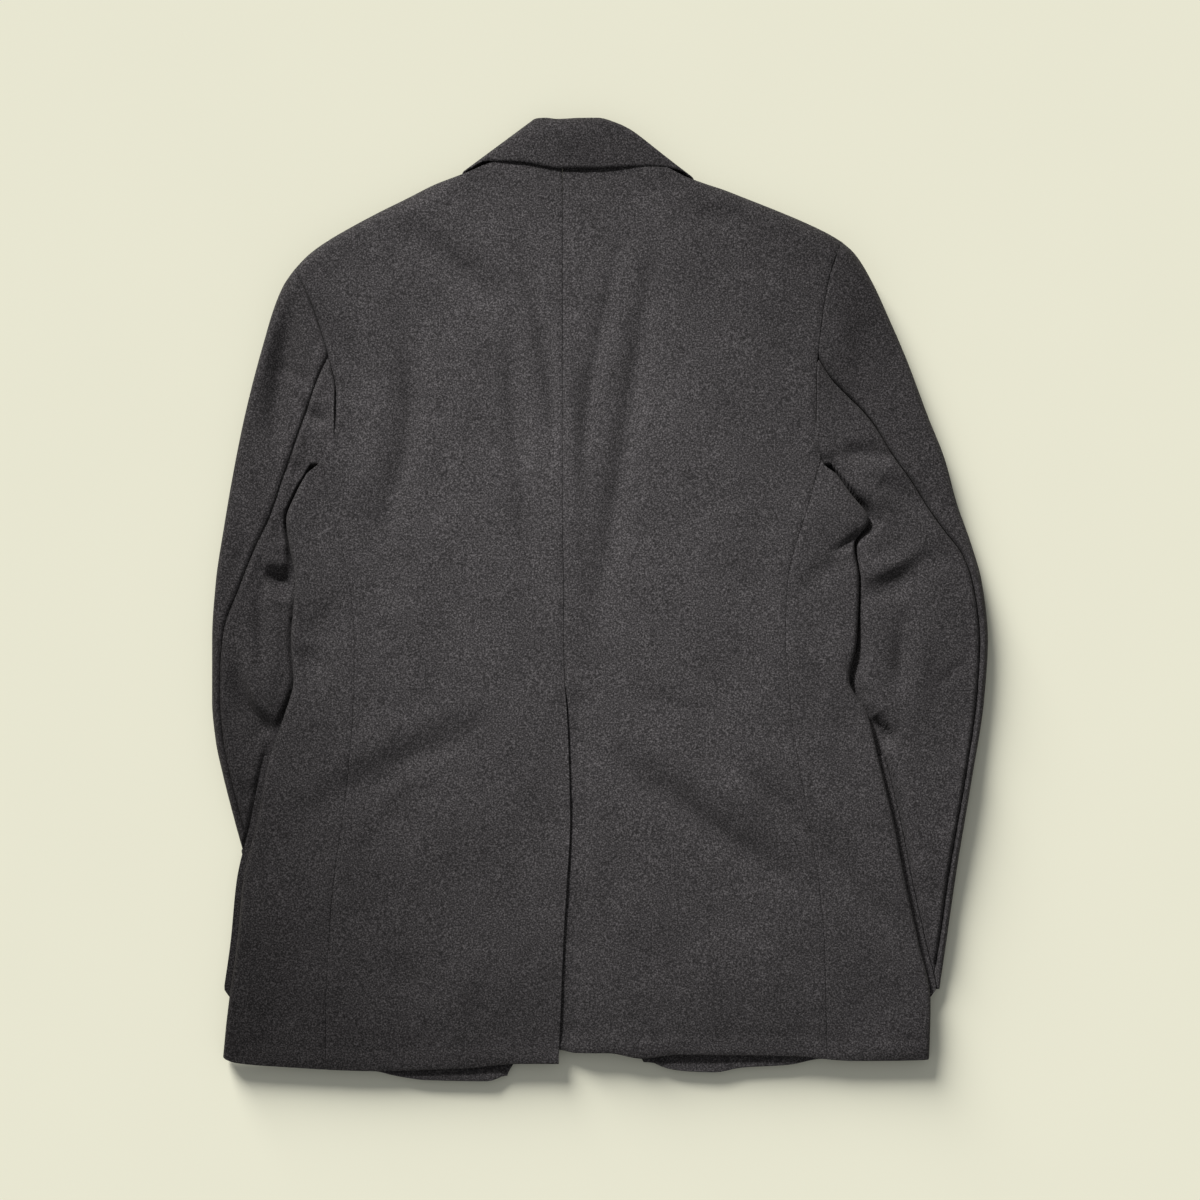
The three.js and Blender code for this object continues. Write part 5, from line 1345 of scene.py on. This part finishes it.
def horn_finish(tree, spot, look):
    """Turned and polished horn: dark brown with paler streaks and a satin surface."""
    stretched = add_node(tree, "ShaderNodeMapping", {}, {"Vector": spot, "Scale": (1.0, 0.22, 1.0)})
    # Layers of horn show as streaks 2 to 4 mm wide
    streaks = add_node(tree, "ShaderNodeTexNoise", {}, {
        "Vector": stretched.outputs["Vector"], "Scale": 1 / (STREAK_SIZE * MM), "Detail": 4.0,
        "Distortion": 0.6,
    })
    polish = add_node(tree, "ShaderNodeMapRange", {}, {
        "Value": streaks.outputs["Fac"], "To Min": 0.28, "To Max": 0.42,
    })
    shade = add_node(tree, "ShaderNodeValToRGB", {}, {"Fac": streaks.outputs["Fac"]})
    stops = shade.color_ramp.elements
    stops[0].position, stops[0].color = 0.35, linear("#191412")
    stops[1].position, stops[1].color = 0.75, linear(look.horn)
    return {
        "Base Color": shade.outputs["Color"], "Roughness": polish.outputs["Result"], "IOR": 1.54,
    }


def thread_finish(tree, spot, look):
    """Mercerised sewing thread, a shade darker than the cloth, with a slight gloss on its twist."""
    # Two plies, 0.25 mm each, twist round each other
    twist = add_node(tree, "ShaderNodeTexWave", {"wave_type": "BANDS", "bands_direction": "DIAGONAL"}, {
        "Vector": spot, "Scale": 1 / (TWIST_SIZE * MM), "Distortion": 1.0,
    })
    shade = add_node(tree, "ShaderNodeValToRGB", {}, {"Fac": twist.outputs["Fac"]})
    stops = shade.color_ramp.elements
    stops[0].color = linear("#161515")
    stops[1].color = linear(look.thread)
    return {"Base Color": shade.outputs["Color"], "Roughness": 0.55}


def floor_finish(tree, spot, stage):
    """Smooth painted board, plain and pale, with only the faintest mottle."""
    mottle = add_node(tree, "ShaderNodeTexNoise", {}, {"Vector": spot, "Scale": 6.0, "Detail": 2.0})
    tone = add_node(tree, "ShaderNodeMapRange", {}, {
        "Value": mottle.outputs["Fac"], "To Min": 0.99, "To Max": 1.01,
    })
    base = add_node(tree, "ShaderNodeVectorMath", {"operation": "SCALE"}, {
        0: linear(stage.floor)[:3], "Scale": tone.outputs["Result"],
    })
    return {"Base Color": base.outputs["Vector"], "Roughness": 1, "Specular IOR Level": 0}


def seam_curves(name, lines):
    """One curve object with a poly line for each seam, in metres."""
    curve = bpy.data.curves.new(name, "CURVE")
    curve.dimensions = "3D"
    for line in lines:
        spline = curve.splines.new("POLY")
        spline.points.add(len(line) - 1)
        for point, at in zip(spline.points, line):
            point.co = (at[0] * MM, at[1] * MM, at[2] * MM, 1)
    return add_object(name, curve)


def stitched(name, lines, sizes, material):
    """A plain mesh of stitches along the lines."""
    tree, sockets = stitch_tree(material)
    guide = seam_curves(name + "_guide", lines)
    modifier = guide.modifiers.new("stitches", "NODES")
    modifier.node_group = tree
    modifier[sockets["Stitch step"]] = sizes.step
    modifier[sockets["Stitch length"]] = sizes.length
    modifier[sockets["Thread width"]] = sizes.thread_width
    piece = add_object(name, applied(guide))
    bpy.data.objects.remove(guide)
    return piece


def pocket_lines(half):
    """The topstitching round three sides of a pocket, on its face, which lies downwards."""
    inset = POCKET_STITCH_INSET
    depth = POCKET_TOP - POCKET_BOTTOM
    side = inset / POCKET_WIDTH
    low = 1 - (inset + STITCH_CORNER) / depth
    down = [(side, v) for v in np.linspace(STITCH_LINE_TOP, low, STITCH_LINE_STEPS)]
    corner = [(side + STITCH_CORNER_CUT / POCKET_WIDTH, 1 - (inset + STITCH_CORNER_CUT) / depth)]
    first = side + STITCH_CORNER / POCKET_WIDTH
    across = [(u, 1 - inset / depth) for u in np.linspace(first, 0.5, STITCH_ACROSS_STEPS)]
    path = down + corner + across
    path = path + [(1 - u, v) for u, v in reversed(path[:-1])]
    line = []
    for u, v in path:
        y = lerp(POCKET_TOP, POCKET_BOTTOM, v)
        x = float(half.edge(y)) + half.out * (POCKET_PROUD - POCKET_WIDTH * u)
        line.append((x, y, OVER_SLEEVE + POCKET_STITCH_DEPTH - STITCH_SUNK))
    return line


def finish_piece(piece, material, node):
    piece.data.materials.clear()
    piece.data.materials.append(material)
    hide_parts(node)
    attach(piece, "root")


def finish_cloth(piece, kind, half=None):
    """Gives a shell of cloth its flannel and its place."""
    node = f"{kind}_{half.side}" if half else kind
    flannel = material_for(FLANNEL, flannel_finish, bpy.context.scene.blazer_cloth)
    finish_piece(piece, flannel, node)


def build_halves(make, kind):
    """Makes a piece of cloth for each half of the jacket, which may rest on others of its half."""
    for half in HALVES:
        finish_cloth(make(half, bpy.context.scene.blazer_cloth), kind, half)
    return {"FINISHED"}


class BlazerCloth(bpy.types.PropertyGroup):
    grid: bpy.props.FloatProperty(
        name="Point spacing", description="Spacing of the points of the cloth that shows, in millimetres",
        default=3.0, min=1.5, max=8,
    )
    hidden_grid: bpy.props.FloatProperty(
        name="Hidden point spacing", default=4.5, min=2, max=12,
        description="Spacing of the points of the cloth underneath, in millimetres",
    )
    creases: bpy.props.FloatProperty(
        name="Creases", description="Strength of the small creases and of the cloth's unevenness",
        default=1.0, min=0, max=2, subtype="FACTOR",
    )
    nap: bpy.props.FloatProperty(
        name="Nap", description="Strength of the brushed surface",
        default=0.5, min=0, max=1, subtype="FACTOR",
    )
    dark_fibre: bpy.props.StringProperty(
        name="Dark fibres", description="sRGB hex colour of the darkest fibres", default="#161515",
    )
    main_fibre: bpy.props.StringProperty(
        name="Main fibres", description="sRGB hex colour of most fibres", default="#323031",
    )
    light_fibre: bpy.props.StringProperty(
        name="Light fibres", description="sRGB hex colour of the lightest fibres", default="#625F60",
    )


class BlazerSewing(bpy.types.PropertyGroup):
    step: bpy.props.FloatProperty(
        name="Stitch step", description="Distance from one stitch to the next",
        default=STITCH_STEP * MM, unit="LENGTH",
    )
    length: bpy.props.FloatProperty(
        name="Stitch length", description="Length of the thread that shows",
        default=STITCH_LENGTH * MM, unit="LENGTH",
    )
    thread_width: bpy.props.FloatProperty(
        name="Thread width", description="Width of the sewing thread",
        default=THREAD_WIDTH * MM, unit="LENGTH",
    )
    thread: bpy.props.StringProperty(
        name="Thread", description="sRGB hex colour of the thread", default="#2F2D2E",
    )


class BlazerButtons(bpy.types.PropertyGroup):
    button_diameter: bpy.props.FloatProperty(
        name="Button diameter", description="Diameter of the two front buttons",
        default=float((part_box("button_upper")[1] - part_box("button_upper")[0]).x), unit="LENGTH",
    )
    horn: bpy.props.StringProperty(
        name="Horn streaks", description="sRGB hex colour of the paler streaks", default="#4A3A30",
    )


class BlazerStage(bpy.types.PropertyGroup):
    floor: bpy.props.StringProperty(
        name="Floor", description="sRGB hex colour of the floor", default="#E8E9D8",
    )
    key: bpy.props.FloatProperty(
        name="Key light", description="Strength of the soft light from the top on the jacket",
        default=0.9, min=0,
    )
    floor_key: bpy.props.FloatProperty(
        name="Floor light", description="Strength of the light that casts the soft shadow on the floor",
        default=7.5, min=0,
    )
    pool: bpy.props.FloatProperty(
        name="Pool of light", description="Power of the soft spot light on the middle of the jacket",
        default=222, unit="POWER",
    )
    height: bpy.props.FloatProperty(
        name="Camera height", description="Height of the camera above the floor",
        default=2.49, unit="LENGTH",
    )


class BuildBacks(bpy.types.Operator):
    """Build the two back panels, with the vent, the blades' folds and the hem"""
    bl_idname = "blazer.backs"
    bl_label = "Backs"

    def execute(self, context):
        return build_halves(back_piece, "back")


class BuildSides(bpy.types.Operator):
    """Build the two side bodies, folded round the sides of the jacket"""
    bl_idname = "blazer.sides"
    bl_label = "Side bodies"

    def execute(self, context):
        return build_halves(side_piece, "side")


class BuildFronts(bpy.types.Operator):
    """Build the two fronts, which lie underneath"""
    bl_idname = "blazer.fronts"
    bl_label = "Fronts"

    def execute(self, context):
        return build_halves(front_piece, "front")


class BuildLapels(bpy.types.Operator):
    """Build the turned lapels under the fronts"""
    bl_idname = "blazer.lapels"
    bl_label = "Lapels"

    def execute(self, context):
        return build_halves(lapel_piece, "lapel")


class BuildPockets(bpy.types.Operator):
    """Build the hip patch pockets"""
    bl_idname = "blazer.pockets"
    bl_label = "Hip pockets"

    def execute(self, context):
        return build_halves(pocket_piece, "pocket")


class BuildSleeves(bpy.types.Operator):
    """Build the two-piece sleeves"""
    bl_idname = "blazer.sleeves"
    bl_label = "Sleeves"

    def execute(self, context):
        for half in HALVES:
            top, under = sleeve_pieces(half, context.scene.blazer_cloth)
            finish_cloth(top, "sleeve_top", half)
            finish_cloth(under, "sleeve_under", half)
        return {"FINISHED"}


class BuildCollar(bpy.types.Operator):
    """Build the collar's fall and stand"""
    bl_idname = "blazer.collar"
    bl_label = "Collar"

    def execute(self, context):
        cloth = context.scene.blazer_cloth
        finish_cloth(collar_piece(cloth), "collar")
        finish_cloth(stand_piece(cloth), "collar_stand")
        return {"FINISHED"}


class BuildButtons(bpy.types.Operator):
    """Build the two buttons of the front"""
    bl_idname = "blazer.buttons"
    bl_label = "Buttons"

    def execute(self, context):
        sizes = context.scene.blazer_buttons
        for name, x, y in zip(BUTTONS["name"], BUTTONS["x"], BUTTONS["y"]):
            piece = button_piece(f"horn_{name}", float(x), float(y), sizes)
            finish_piece(piece, material_for(HORN, horn_finish, sizes), str(name))
        return {"FINISHED"}


class BuildStitches(bpy.types.Operator):
    """Lay the topstitching of the pockets"""
    bl_idname = "blazer.stitches"
    bl_label = "Stitches"

    def execute(self, context):
        sizes = context.scene.blazer_sewing
        lines = [pocket_lines(half) for half in HALVES]
        thread = material_for(THREAD, thread_finish, sizes)
        piece = stitched("pocket_topstitches", lines, sizes, thread)
        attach(piece, "root")
        return {"FINISHED"}


class BuildStage(bpy.types.Operator):
    """Make the pale floor, the soft lights and the camera"""
    bl_idname = "blazer.stage"
    bl_label = "Stage"

    def execute(self, context):
        stage = context.scene.blazer_stage
        scene = context.scene
        mesh = bpy.data.meshes.new("floor")
        size = FLOOR_SIZE / 2
        corners = [(x * size, y * size, -FLOOR_DROP) for x, y in ((-1, -1), (1, -1), (1, 1), (-1, 1))]
        mesh.from_pydata(corners, [], [(0, 1, 2, 3)])
        mesh.materials.append(material_for(BOARD, floor_finish, stage))
        add_object("floor", mesh)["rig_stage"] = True
        jacket = lit_pieces("jacket", False)
        add_sun("key", KEY_FROM, KEY_SPREAD, stage.key, jacket)
        add_pool_light(stage, jacket)
        ground = lit_pieces("ground", True)
        add_sun("floor key", FLOOR_KEY_FROM, FLOOR_KEY_SPREAD, stage.floor_key, ground)
        camera_data = bpy.data.cameras.new("camera")
        camera_data.lens = 90
        camera_data.sensor_width = 36
        camera = add_object("camera", camera_data)
        camera.location = (0, 0, stage.height)
        scene.camera = camera
        world = bpy.data.worlds.new("soft room")
        world.use_nodes = True
        background = world.node_tree.nodes["Background"]
        background.inputs["Color"].default_value = linear("#FFFFFF")
        background.inputs["Strength"].default_value = WORLD_LIGHT
        scene.world = world
        scene.view_settings.view_transform = "Standard"
        return {"FINISHED"}


def lit_pieces(name, wanted):
    """A collection of the objects that one light reaches."""
    group = bpy.data.collections.new(name)
    for piece in bpy.context.scene.objects:
        if piece.type == "MESH" and ("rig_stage" in piece) == wanted:
            group.objects.link(piece)
    return group


def add_sun(name, source, spread, strength, receivers):
    """An even light with soft shadow edges that reaches one group of objects."""
    data = bpy.data.lights.new(name, "SUN")
    data.energy = strength
    data.angle = math.radians(spread)
    data.color = linear("#FFFBF4")[:3]
    aim_light(add_object(name, data), source, (0, 0, 0), receivers)


def add_pool_light(stage, receivers):
    """A soft spot light from beyond the collar, aimed at the back and flagged off the floor."""
    data = bpy.data.lights.new("pool", "SPOT")
    data.energy = stage.pool
    data.spot_size = math.radians(POOL_WIDTH)
    data.spot_blend = 1
    data.shadow_soft_size = POOL_RADIUS
    aim_light(add_object("pool", data), POOL_FROM, POOL_AT, receivers)


def aim_light(light, source, target, receivers):
    light.location = source
    light.rotation_euler = (Vector(target) - Vector(source)).to_track_quat("-Z", "Y").to_euler()
    light.light_linking.receiver_collection = receivers


OPERATORS = (
    BuildSleeves, BuildPockets, BuildLapels, BuildFronts, BuildSides, BuildBacks,
    BuildCollar, BuildButtons, BuildStitches, BuildStage,
)
GROUPS = {
    "blazer_cloth": BlazerCloth,
    "blazer_sewing": BlazerSewing,
    "blazer_buttons": BlazerButtons,
    "blazer_stage": BlazerStage,
}


class BlazerPanel(bpy.types.Panel):
    """Lists the sizes and the steps that build the blazer"""
    bl_idname = "VIEW3D_PT_blazer"
    bl_label = "Blazer"
    bl_space_type = "VIEW_3D"
    bl_region_type = "UI"
    bl_category = "Blazer"

    def draw(self, context):
        for name, group in GROUPS.items():
            box = self.layout.box()
            for value in group.__annotations__:
                box.prop(getattr(context.scene, name), value)
        for operator in OPERATORS:
            self.layout.operator(operator.bl_idname)


def register():
    for made in (*GROUPS.values(), *OPERATORS, BlazerPanel):
        bpy.utils.register_class(made)
    for name, group in GROUPS.items():
        setattr(bpy.types.Scene, name, bpy.props.PointerProperty(type=group))


def unregister():
    for name in GROUPS:
        delattr(bpy.types.Scene, name)
    for made in reversed((*GROUPS.values(), *OPERATORS, BlazerPanel)):
        bpy.utils.unregister_class(made)


def main():
    register()
    for operator in OPERATORS:
        group, name = operator.bl_idname.split(".")
        getattr(getattr(bpy.ops, group), name)()


if __name__ == "__main__":
    main()
